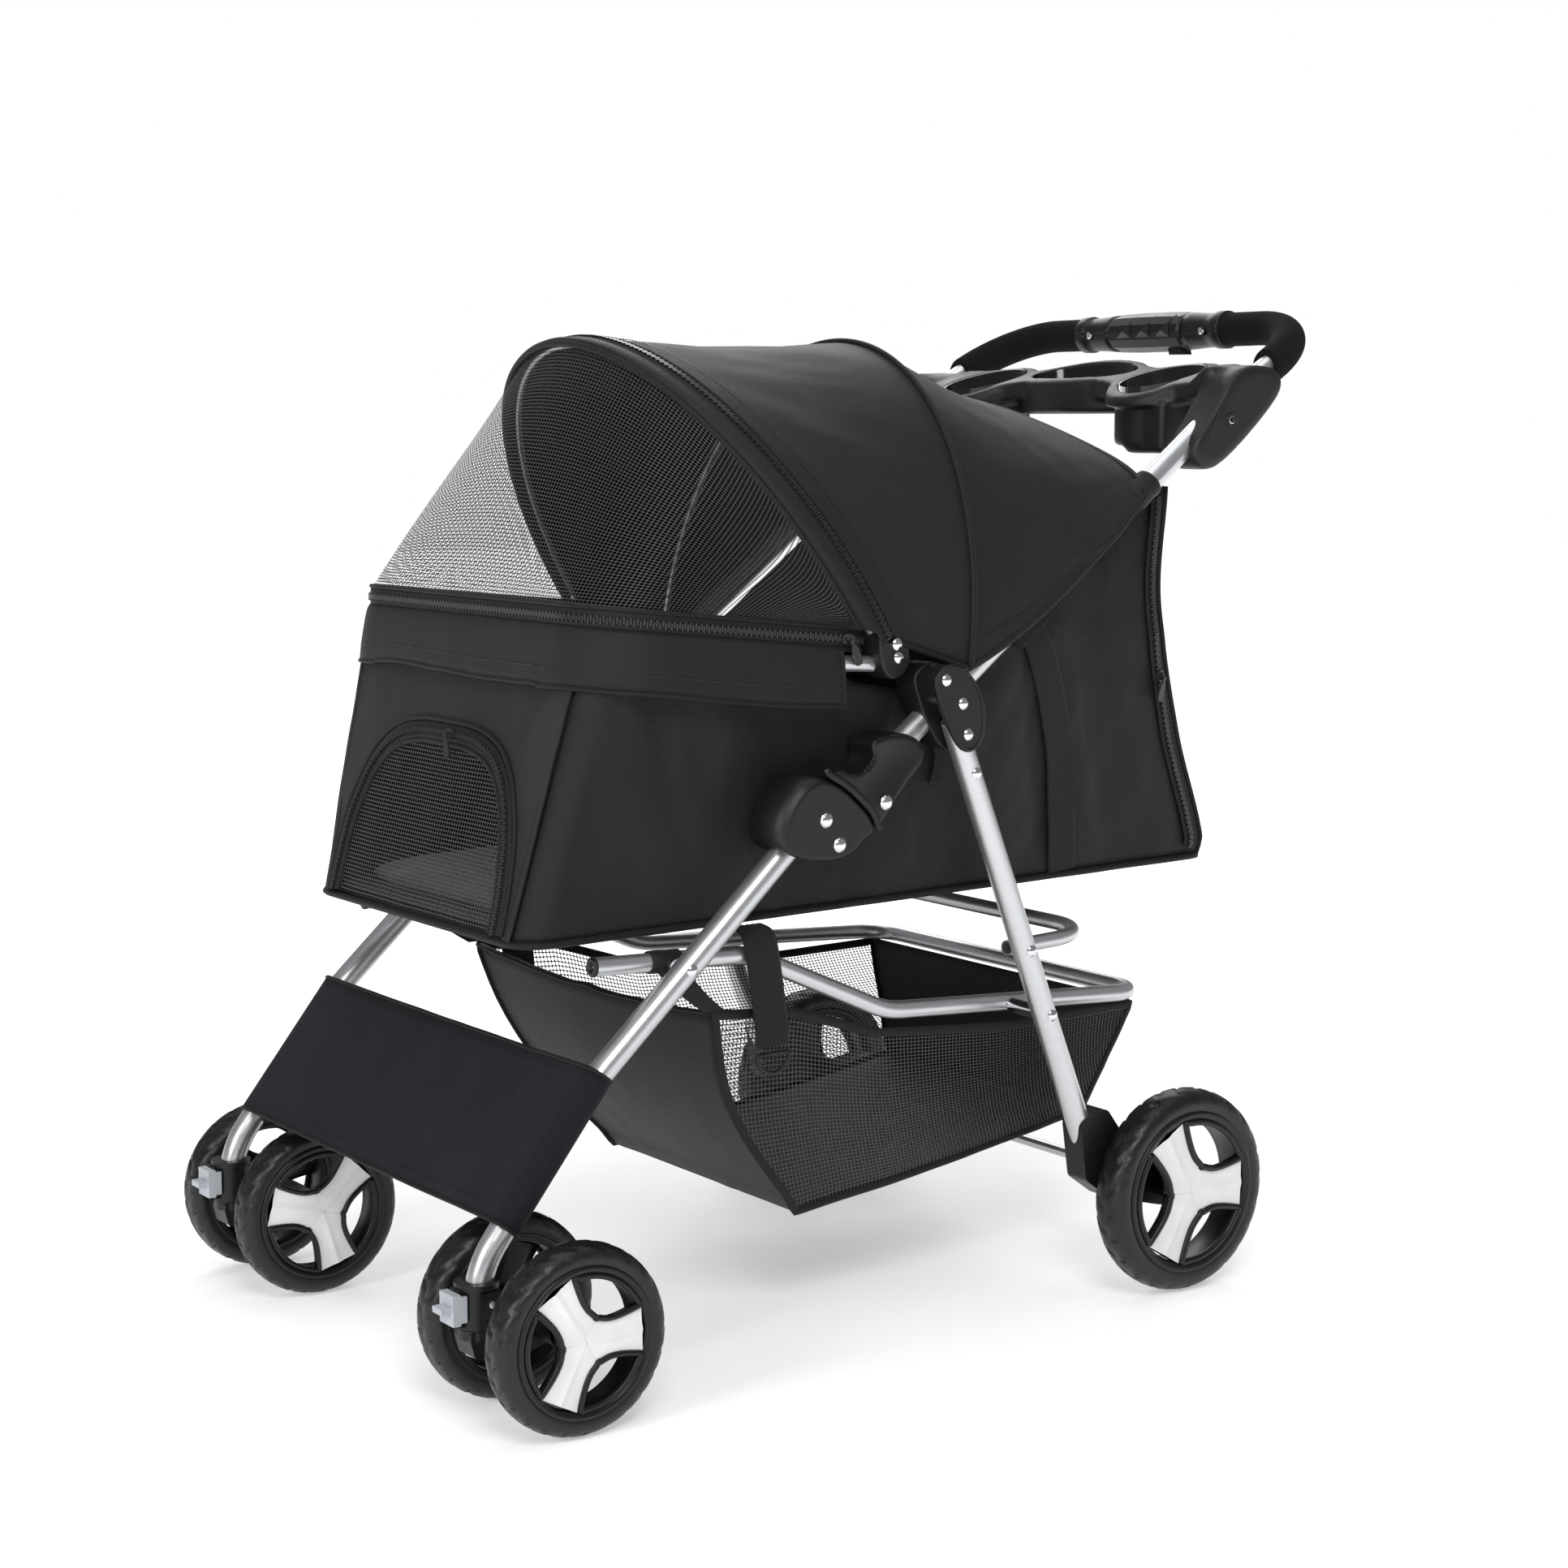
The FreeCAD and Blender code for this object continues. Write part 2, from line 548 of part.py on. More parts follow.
# ---------------------------------------------------------------- rear legs, hub and brake
def rear_leg():
    body = tube([vec(REAR_LEG_X, *REAR_TOP), vec(REAR_LEG_X, *REAR_FOOT)], TUBE_R, TUBE_WALL, [])
    body = body.cut(pin(230, 280, REAR_Y, REAR_Z, PIN_R + RUN))
    return body.cut(pin(230, 280, BASKET_Y, BASKET_Z, PIN_R)).cut(hoop_core())


HUB = [(604, 168), (636, 176), (672, 128), (724, 112), (728, 84), (706, 74), (640, 92), (612, 112)]
HUB_X = (238.5, 264.0)
PEDAL_Y, PEDAL_Z = 690.0, 124.0


def hub_bracket():
    body = plate_yz(HUB, HUB_X[0], HUB_X[1], 8)
    body = body.cut(solid_bar([vec(REAR_LEG_X, *REAR_TOP), vec(REAR_LEG_X, *REAR_FOOT)], TUBE_R, []))
    body = body.cut(pin(-300, 300, REAR_AXLE_Y, REAR_R, AXLE_R + 1))
    return body.cut(pin(200, 280, PEDAL_Y, PEDAL_Z - 10, PIN_R)).removeSplitter()


def rear_axle():
    """One rod between the hubs, with a stub of the wheels' bore size outside each."""
    rod = pin(-HUB_X[1], HUB_X[1], REAR_AXLE_Y, REAR_R, AXLE_R + 1)
    for side in (1, -1):
        stub = pin(HUB_X[1], REAR_WHEEL_X + REAR_W / 2 - 6, REAR_AXLE_Y, REAR_R, AXLE_R)
        rod = rod.fuse(on_side(stub, side))
    return rod.removeSplitter()


def hoop_core():
    return solid_bar(HOOP_POINTS, RAIL_R, HOOP_BEND)


def rear_fasteners():
    """Basket pivot pins, hoop rivets, leg rivets and brake pivot pins."""
    found = []
    basket_pin = rivet(190, REAR_LEG_X + TUBE_R + 0.4, BASKET_Y, BASKET_Z)
    spacer = Part.makeCylinder(7, 40, vec(208.4, BASKET_Y, BASKET_Z), vec(1, 0, 0))
    leg = solid_bar([vec(REAR_LEG_X, *REAR_TOP), vec(REAR_LEG_X, *REAR_FOOT)], TUBE_R, [])
    found += both(basket_pin.fuse(spacer.cut(leg)))
    for y, z in ((480.0, 494.0), (545.0, 331.0)):
        head = rivet(REAR_LEG_X + TUBE_R - 2, REAR_LEG_X + TUBE_R + 0.2, y, z)
        found += both(head.cut(leg))
    found += both(pin(204, HUB_X[0] + 6, PEDAL_Y, PEDAL_Z - 10, PIN_R))
    return found


def brake_pedal():
    """Foot lever on its own pin inside the hub bracket."""
    x0, x1 = 206.0, 236.0
    z = PEDAL_Z - 10
    boss = pin(x0, x1, PEDAL_Y, z, 9)
    outline = [(694, 121), (728, 126), (766, 119), (772, 112), (764, 109), (728, 115), (696, 113)]
    arm = plate_yz(outline, x0, x1, 2)
    return boss.fuse(arm).cut(pin(x0 - 5, x1 + 5, PEDAL_Y, z, PIN_R + RUN)).removeSplitter()


# ---------------------------------------------------------------- basket
def basket_tube():
    body = tube(BASKET_POINTS, SMALL_R, 1.1, BASKET_BENDS)
    for side in (1, -1):
        hole = Part.makeCylinder(PIN_R + RUN, 40, vec(side * 180, BASKET_Y, BASKET_Z), vec(side, 0, 0))
        body = body.cut(hole)
    return body


BASKET_SIDE = [(246, 318), (420, 262), (722, 249), (708, 142), (372, 96)]
BASKET_TOP_W, BASKET_LOW_W = 188.0, 150.0


def tapered(outline, low_w, top_w, low_z, top_z, inset=0.0, bend=0.0):
    """A side-view outline given width, wider at the top than at the bottom."""
    slab = plate_yz(outline, -400, 400, bend)
    top = top_w - inset
    foot = low_w - inset - (top_w - low_w) / (top_z - low_z) * low_z
    high = top_z + 4 * (top_z - low_z)
    far = 2000
    section = [vec(-foot, -far, 0), vec(foot, -far, 0), vec(top, -far, top_z), vec(top, -far, high),
               vec(-top, -far, high), vec(-top, -far, top_z)]
    wedge = Part.Face(Part.makePolygon(section + section[:1])).extrude(vec(0, 2 * far, 0))
    return slab.common(wedge)


def basket_fabric():
    outer = tapered(BASKET_SIDE, BASKET_LOW_W, BASKET_TOP_W, 96, 318, 0, 10)
    inside = [(252, 360), (720, 360), (718, 252), (704, 145.5), (373.5, 100)]
    return outer.cut(tapered(inside, BASKET_LOW_W, BASKET_TOP_W, 96, 318, FABRIC, 8)).removeSplitter()


# ---------------------------------------------------------------- cabin and canopy
CABIN_SIDE = [(70, 373), (128, 606), (388, 574), (444, 560), (520, 573), (704, 714), (752, 733), (746, 627),
              (781, 506), (826, 402), (820, 383)]
CABIN_ROOM = [(74.5, 377), (122, 565), (123, 760), (748, 800), (748, 735), (742.5, 627), (777.5, 505),
              (821.5, 402), (816, 387)]


def cabin_shell():
    """Walls and floor of the fabric cabin, open at the top."""
    outer = tapered(CABIN_SIDE, CABIN_LOW_W, CABIN_TOP_W, CABIN_LOW_Z, CABIN_TOP_Z)
    room = tapered(CABIN_ROOM, CABIN_LOW_W, CABIN_TOP_W, CABIN_LOW_Z, CABIN_TOP_Z, FABRIC)
    return outer.cut(room).cut(rail_core()).removeSplitter()


def floor_slab(low, high, half_width, y0, y1):
    """A slab parallel to the cabin floor, from low to high above it."""
    rise = (383.0 - 373.0) / (820.0 - 70.0)
    outline = [(y0, 373 + rise * (y0 - 70) + low), (y1, 373 + rise * (y1 - 70) + low),
               (y1, 373 + rise * (y1 - 70) + high), (y0, 373 + rise * (y0 - 70) + high)]
    return plate_yz(outline, -half_width, half_width, 1.0)


def floor_board():
    return floor_slab(4.6, 8.6, 176.0, 84.0, 806.0)


def cushion():
    return floor_slab(9.0, 34.0, 174.0, 88.0, 796.0)


def ribbon(outer, inner):
    """Closed strip between two curves that run the same way."""
    a0, a1 = outer.Vertexes[0].Point, outer.Vertexes[-1].Point
    b0, b1 = inner.Vertexes[0].Point, inner.Vertexes[-1].Point
    return Part.Wire(Part.__sortEdges__([outer, Part.makeLine(a1, b1), inner, Part.makeLine(b0, a0)]))


def arch_ribbon(foot, top, half_width, thick):
    outer = arch_edge(foot[0], foot[1], top[0], top[1], half_width)
    inner = arch_edge(foot[0], foot[1], top[0], top[1], half_width, -thick)
    return ribbon(outer, inner)


def rim_edge(half_width, front_y, inset):
    """Boxy U along the cabin rim, from +X round the front to -X, rising to the front."""
    back_y = 384.0
    points = []
    for step in range(25):
        angle = math.pi * step / 24
        across = abs(math.cos(angle)) ** 0.42 * (1 if angle < math.pi / 2 else -1)
        x = (half_width - inset) * across
        y = back_y - (back_y - front_y - inset) * abs(math.sin(angle)) ** 0.42
        points.append(vec(x, y, 607.0 + (back_y - y) * 0.105))
    curve = Part.BSplineCurve()
    curve.interpolate(points)
    return curve.toShape()


CANOPY_HALF = 240.0


def canopy_rear():
    """Fabric from the middle bow back to the handle tubes."""
    sections = [arch_ribbon((488, 590), (526, 868), CANOPY_HALF, FABRIC),
                arch_ribbon((600, 668), (628, 838), 233.0, FABRIC),
                arch_ribbon(REAR_EDGE_FOOT, REAR_EDGE_TOP, 214.0, FABRIC)]
    shell = Part.makeLoft(sections, True, True)
    return shell.cut(handle_core()).cut(mid_bow())


def canopy_front():
    """Fabric hood between the two bows."""
    half = CANOPY_HALF - 10
    return Part.makeLoft([arch_ribbon(CANOPY_FOOT, CANOPY_FRONT_TOP, half, FABRIC),
                          arch_ribbon(CANOPY_MID_FOOT, CANOPY_MID_TOP, half, FABRIC)], True, True)


def mesh_window():
    """Thin mesh shell between the rim and the front bow."""
    rim = ribbon(rim_edge(226.0, 124.0, 0), rim_edge(226.0, 124.0, 2.0))
    hoop = arch_ribbon((384, 634), (231, 855), 225.0, 2.0)
    return Part.makeLoft([rim, hoop], True, True)


def hanging_strap():
    """Webbing that hangs from the cabin floor outside the basket tube, looped at its end."""
    shelf = Part.makeBox(27, 34, 2, vec(186, 270, 370.4))
    fall = plate_yz([(270, 372.4), (304, 372.4), (315, 262), (285, 262)], 211, 213)
    loop = Part.makeCylinder(4.2, 28, vec(212, 286, 262), vec(0, 1, 0))
    strap = shelf.fuse(fall).fuse(loop)
    return strap.cut(Part.makeCylinder(2.05, 60, vec(212, 270, 262), vec(0, 1, 0))).removeSplitter()


def d_ring():
    bar = Part.makeCylinder(2, 34, vec(212, 283, 262), vec(0, 1, 0))
    bow_part = Part.makeTorus(17, 2, vec(212, 300, 262), vec(1, 0, 0), -180, 180, 360)
    lower = Part.makeBox(20, 60, 30, vec(202, 270, 232))
    return bar.fuse(bow_part.common(lower)).removeSplitter()


# ---------------------------------------------------------------- write every node
def main():
    save("handle_tube", handle_tube().cut(fasteners_upper()))
    save("handle_foam", *foam())
    save("grip_cover_top", grip(True))
    save("grip_cover_bottom", grip(False))
    save("parent_tray", tray())
    save("side_brackets", *both(side_bracket()))
    save("rail_hinges", *both(rail_hinge()))
    save("rim_rail", tube(RAIL_POINTS, RAIL_R, RAIL_WALL, RAIL_BEND).cut(fasteners_upper()))
    save("upper_fasteners", fasteners_upper())
    save("mid_bow", mid_bow())
    save("front_bow", front_bow())
    save("cabin_shell", cabin_shell())
    save("floor_board", floor_board())
    save("cushion", cushion())
    save("canopy_rear", canopy_rear())
    save("canopy_front", canopy_front(), mesh_window())
    save("lock_knuckles", *both(lock_knuckle()))
    save("lock_shells", *both(lock_shell()))
    save("front_legs", *both(front_leg()))
    save("leg_fasteners", *leg_fasteners())
    save("caster_sockets", *both(caster_socket()))
    save("leg_panel", leg_panel())
    save("rear_legs", *both(rear_leg()))
    save("hub_brackets", *both(hub_bracket()))
    save("rear_axle", rear_axle())
    save("hoop_bar", tube(HOOP_POINTS, RAIL_R, RAIL_WALL, HOOP_BEND))
    save("rear_fasteners", *rear_fasteners())
    save("basket_tube", basket_tube())
    save("basket_fabric", basket_fabric())
    save("hanging_straps", *both(hanging_strap()))
    for name, side in SIDES.items():
        save("release_sleeve_" + name, on_side(release_sleeve(), side))
        save("swivel_lock_" + name, on_side(swivel_lock(), side))
        save("caster_fork_" + name, on_side(caster_fork(), side))
        save("front_axle_" + name, on_side(front_axle(), side))
        save("brake_pedal_" + name, on_side(brake_pedal(), side))
        save("d_ring_" + name, on_side(d_ring(), side))
        wheels = {"rear_" + name: (REAR_R, REAR_W, side * REAR_WHEEL_X, REAR_AXLE_Y, REAR_R, side),
                  "front_%s_outer" % name: (FRONT_R, FRONT_W, side * (CASTER_X + TWIN), TRAIL, FRONT_R, side),
                  "front_%s_inner" % name: (FRONT_R, FRONT_W, side * (CASTER_X - TWIN), TRAIL, FRONT_R, -side)}
        for wheel, sizes in wheels.items():
            tyre, core, cover = wheel_parts(*sizes)
            save("tyre_" + wheel, tyre)
            save("wheel_core_" + wheel, core)
            save("spoke_cover_" + wheel, cover)
    whole = BOXES[0]
    for box in BOXES[1:]:
        whole.add(box)
    print("nodes %d  X %.1f..%.1f  Y %.1f..%.1f  Z %.1f..%.1f" % (
        len(BOXES), whole.XMin, whole.XMax, whole.YMin, whole.YMax, whole.ZMin, whole.ZMax))


main()
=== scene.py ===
"""Visual model of the folding pet stroller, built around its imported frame.

Design lengths are millimetres measured as in the frame's own layout: X to the side, Y from the
front caster axis towards the handle, Z up from the floor. at() turns them into metres.
"""

import json
from math import atan2, copysign, cos, exp, hypot, pi, radians, sin, sqrt

import bmesh
import bpy
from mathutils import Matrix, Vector, noise


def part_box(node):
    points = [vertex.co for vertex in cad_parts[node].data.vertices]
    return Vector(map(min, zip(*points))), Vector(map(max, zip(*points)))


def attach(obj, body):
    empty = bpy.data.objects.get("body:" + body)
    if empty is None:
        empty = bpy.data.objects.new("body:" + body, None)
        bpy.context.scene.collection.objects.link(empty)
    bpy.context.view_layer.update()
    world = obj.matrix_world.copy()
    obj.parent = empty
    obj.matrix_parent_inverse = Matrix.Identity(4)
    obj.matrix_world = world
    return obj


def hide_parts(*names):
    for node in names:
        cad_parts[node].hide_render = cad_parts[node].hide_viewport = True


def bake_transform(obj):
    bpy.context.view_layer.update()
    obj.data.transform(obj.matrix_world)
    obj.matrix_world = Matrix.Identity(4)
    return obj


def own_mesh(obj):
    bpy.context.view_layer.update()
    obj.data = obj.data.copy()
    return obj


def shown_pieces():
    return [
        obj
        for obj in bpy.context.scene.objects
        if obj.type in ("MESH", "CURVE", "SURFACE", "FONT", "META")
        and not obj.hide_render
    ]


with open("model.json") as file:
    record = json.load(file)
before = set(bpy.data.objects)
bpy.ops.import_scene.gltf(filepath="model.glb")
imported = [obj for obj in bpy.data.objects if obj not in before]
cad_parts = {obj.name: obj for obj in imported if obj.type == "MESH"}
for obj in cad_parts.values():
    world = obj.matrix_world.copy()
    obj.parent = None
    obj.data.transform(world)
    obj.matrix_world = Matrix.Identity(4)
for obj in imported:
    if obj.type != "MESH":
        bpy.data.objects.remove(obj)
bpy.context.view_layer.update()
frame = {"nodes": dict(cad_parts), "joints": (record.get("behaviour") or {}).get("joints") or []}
NODES = frame["nodes"]
JOINTS = {joint["name"]: joint for joint in frame["joints"]}
SHIFT_Y = JOINTS["caster_swivel_left"]["pos_m"][1]      # where the front caster axis stands

SIDES = {"left": -1, "right": 1}
TUBE_R = 11.0
LEG_X = 228.0                 # middle of each leg and handle tube


def at(x, y, z):
    """A design point in metres."""
    return Vector((x / 1000, y / 1000 + SHIFT_Y, z / 1000))


def mm(x, y, z):
    """A shift of so many millimetres, in metres."""
    return Vector((x, y, z)) / 1000


def pivot(joint):
    """A joint's place in metres."""
    return Vector(JOINTS[joint]["pos_m"])


def evenly(count, low=0.0, high=1.0):
    """count + 1 even steps from low to high."""
    return [low + (high - low) * k / count for k in range(count + 1)]


def hump(share):
    """A half wave: 0 at both ends and 1 in the middle."""
    return sin(pi * share)


# ---------------------------------------------------------------- materials
class Shader:
    """A node tree that starts from one Principled shader."""

    def __init__(self, name, colour, roughness, **sockets):
        self.material = bpy.data.materials.new(name)
        self.material.use_nodes = True
        self.tree = self.material.node_tree
        self.shader = self.tree.nodes["Principled BSDF"]
        self.output = self.tree.nodes["Material Output"]
        self.set("Base Color", (*colour, 1))
        self.set("Roughness", roughness)
        for socket, value in sockets.items():
            self.set(socket.replace("_", " "), value)
        self.colour = colour
        self.roughness = roughness

    def set(self, socket, value):
        self.shader.inputs[socket].default_value = value

    def node(self, kind, **inputs):
        made = self.tree.nodes.new(kind)
        for key, value in inputs.items():
            made.inputs[key.replace("_", " ")].default_value = value
        return made

    def link(self, output, target):
        self.tree.links.new(output, target)

    def coordinates(self, kind="Object"):
        return self.tree.nodes.new("ShaderNodeTexCoord").outputs[kind]

    def math(self, operation, *values):
        made = self.tree.nodes.new("ShaderNodeMath")
        made.operation = operation
        for index, value in enumerate(values):
            if isinstance(value, (int, float)):
                made.inputs[index].default_value = value
            else:
                self.link(value, made.inputs[index])
        return made.outputs[0]

    def wave(self, value):
        """The size of a value's sine."""
        return self.math("ABSOLUTE", self.math("SINE", value))

    def turns(self, pitches):
        """The two UV coordinates, in metres, as angles with half a turn for each pitch."""
        split = self.node("ShaderNodeSeparateXYZ")
        self.link(self.coordinates("UV"), split.inputs[0])
        return [self.math("MULTIPLY", split.outputs[index], pi / pitch)
                for index, pitch in enumerate(pitches)]

    def noise(self, scale, detail=3.0, stretch=(1, 1, 1)):
        mapping = self.node("ShaderNodeMapping", Scale=stretch)
        self.link(self.coordinates("Object"), mapping.inputs["Vector"])
        made = self.node("ShaderNodeTexNoise", Scale=scale, Detail=detail)
        self.link(mapping.outputs[0], made.inputs["Vector"])
        return made.outputs[0]

    def bump(self, height, strength, distance):
        made = self.node("ShaderNodeBump", Strength=strength, Distance=distance)
        self.link(height, made.inputs["Height"])
        previous = self.shader.inputs["Normal"]
        if previous.is_linked:
            self.link(previous.links[0].from_socket, made.inputs["Normal"])
        self.link(made.outputs[0], previous)

    def vary(self, value, spread, colour_spread=0.0):
        """Roughness and colour that drift with a 0..1 value."""
        span = self.tree.nodes.new("ShaderNodeMapRange")
        self.link(value, span.inputs["Value"])
        span.inputs["To Min"].default_value = max(0.02, self.roughness - spread)
        span.inputs["To Max"].default_value = min(1.0, self.roughness + spread)
        self.link(span.outputs[0], self.shader.inputs["Roughness"])
        if colour_spread:
            ramp = self.tree.nodes.new("ShaderNodeMix")
            ramp.data_type = "RGBA"
            self.link(value, ramp.inputs[0])
            ramp.inputs[6].default_value = (*[c * (1 - colour_spread) for c in self.colour], 1)
            ramp.inputs[7].default_value = (*[c * (1 + colour_spread) for c in self.colour], 1)
            self.link(ramp.outputs[2], self.shader.inputs["Base Color"])


def moulded_plastic(name, colour, roughness, grain=0.25):
    made = Shader(name, colour, roughness, Specular_IOR_Level=0.36)
    made.vary(made.noise(35, 4), 0.07, 0.15)
    made.bump(made.noise(1400, 2), grain, 0.0004)
    return made.material


def painted_tube(name):
    made = Shader(name, (0.60, 0.61, 0.62), 0.32, Metallic=0.9)
    made.vary(made.noise(60, 5, stretch=(1, 1, 4)), 0.06, 0.06)
    made.bump(made.noise(2600, 2), 0.08, 0.0002)
    return made.material


def woven(name, colour, pitch=0.0017, roughness=0.54, sheen=0.06, strength=0.8):
    """Plain weave: warp and weft threads cross over and under, on a UV map in metres."""
    made = Shader(name, colour, roughness, Sheen_Weight=sheen, Sheen_Roughness=0.4,
                  Specular_IOR_Level=0.26)
    cloth = made.math("MAXIMUM", *[made.wave(turn) for turn in made.turns((pitch, pitch))])
    weave = made.math("MULTIPLY", cloth, 0.65)
    blotch = made.math("MULTIPLY", made.noise(9, 4), 0.35)
    made.vary(made.math("ADD", weave, blotch), 0.10, 0.55)
    made.bump(cloth, strength, 0.0004)
    made.bump(made.noise(120, 5), 0.25, 0.0008)
    return made.material


def open_mesh(name, colour, pitch=0.0040, cover=0.27):
    """Knitted mesh with real holes: rows of oval openings."""
    made = Shader(name, colour, 0.55, Sheen_Weight=0.1, Specular_IOR_Level=0.4)
    u, v = made.turns((pitch, pitch * 0.86))
    first = made.math("MULTIPLY", made.math("SINE", u), made.math("SINE", v))
    hole = made.math("GREATER_THAN", made.math("ABSOLUTE", first), cover)
    clear = made.node("ShaderNodeBsdfTransparent")
    mix = made.node("ShaderNodeMixShader")
    made.link(hole, mix.inputs[0])
    made.link(made.shader.outputs[0], mix.inputs[1])
    made.link(clear.outputs[0], mix.inputs[2])
    made.link(mix.outputs[0], made.output.inputs["Surface"])
    return made.material


def webbing(name, colour):
    """Ribbed tape with a herringbone of fine threads."""
    made = Shader(name, colour, 0.7, Sheen_Weight=0.08, Specular_IOR_Level=0.3)
    across, along = made.turns((0.0024, 0.0016))
    slant = made.math("ADD", along, made.math("MULTIPLY", made.wave(across), 1.6))
    made.vary(made.noise(40, 3), 0.06, 0.2)
    made.bump(made.wave(slant), 0.8, 0.0007)
    return made.material


def foam(name):
    made = Shader(name, (0.007, 0.007, 0.0075), 0.92, Specular_IOR_Level=0.15)
    made.vary(made.noise(300, 4), 0.05, 0.35)
    made.bump(made.noise(1500, 5), 0.6, 0.0009)
    return made.material


def rubber(name):
    made = Shader(name, (0.006, 0.006, 0.0065), 0.40, Specular_IOR_Level=0.45)
    made.vary(made.noise(24, 5), 0.1, 0.3)
    made.bump(made.noise(700, 4), 0.3, 0.0005)
    return made.material


def polished(name):
    made = Shader(name, (0.75, 0.75, 0.77), 0.16, Metallic=1.0)
    made.vary(made.noise(260, 4), 0.05, 0.08)
    return made.material


def fleece(name):
    made = Shader(name, (0.02, 0.02, 0.023), 0.95, Sheen_Weight=0.3, Sheen_Roughness=0.5)
    made.vary(made.noise(60, 5), 0.03, 0.3)
    made.bump(made.noise(900, 6), 0.8, 0.0015)
    return made.material


METAL = painted_tube("silver_paint")
PLASTIC = moulded_plastic("black_plastic", (0.0065, 0.0065, 0.007), 0.42)
RIM_PLASTIC = moulded_plastic("rim_plastic", (0.006, 0.006, 0.0065), 0.36, 0.15)
TRAY_PLASTIC = moulded_plastic("tray_plastic", (0.010, 0.010, 0.011), 0.48, 0.18)
WELL_PLASTIC = moulded_plastic("well_plastic", (0.008, 0.008, 0.009), 0.10, 0.04)
WHITE = moulded_plastic("white_cover", (0.80, 0.80, 0.81), 0.22, 0.02)
GREY = moulded_plastic("grey_lever", (0.42, 0.45, 0.48), 0.38)
BOARD = moulded_plastic("floor_board", (0.05, 0.05, 0.052), 0.6)
FABRIC = woven("cabin_fabric", (0.0068, 0.0068, 0.0078))
LINING = woven("binding_fabric", (0.0055, 0.0055, 0.0062), 0.0013, 0.58, 0.05, 0.5)
PANEL = woven("leg_panel_fabric", (0.0048, 0.0053, 0.0078), 0.0012, 0.8, 0.05, 0.5)
MESH = open_mesh("window_mesh", (0.030, 0.030, 0.031))
WEBBING = webbing("strap_webbing", (0.007, 0.007, 0.0075))
FOAM = foam("grip_foam")
RUBBER = rubber("tyre_rubber")
CHROME = polished("rivet_steel")
ZIP_TEETH = moulded_plastic("zipper_teeth", (0.022, 0.022, 0.023), 0.24, 0.05)
FLEECE = fleece("cushion_fleece")


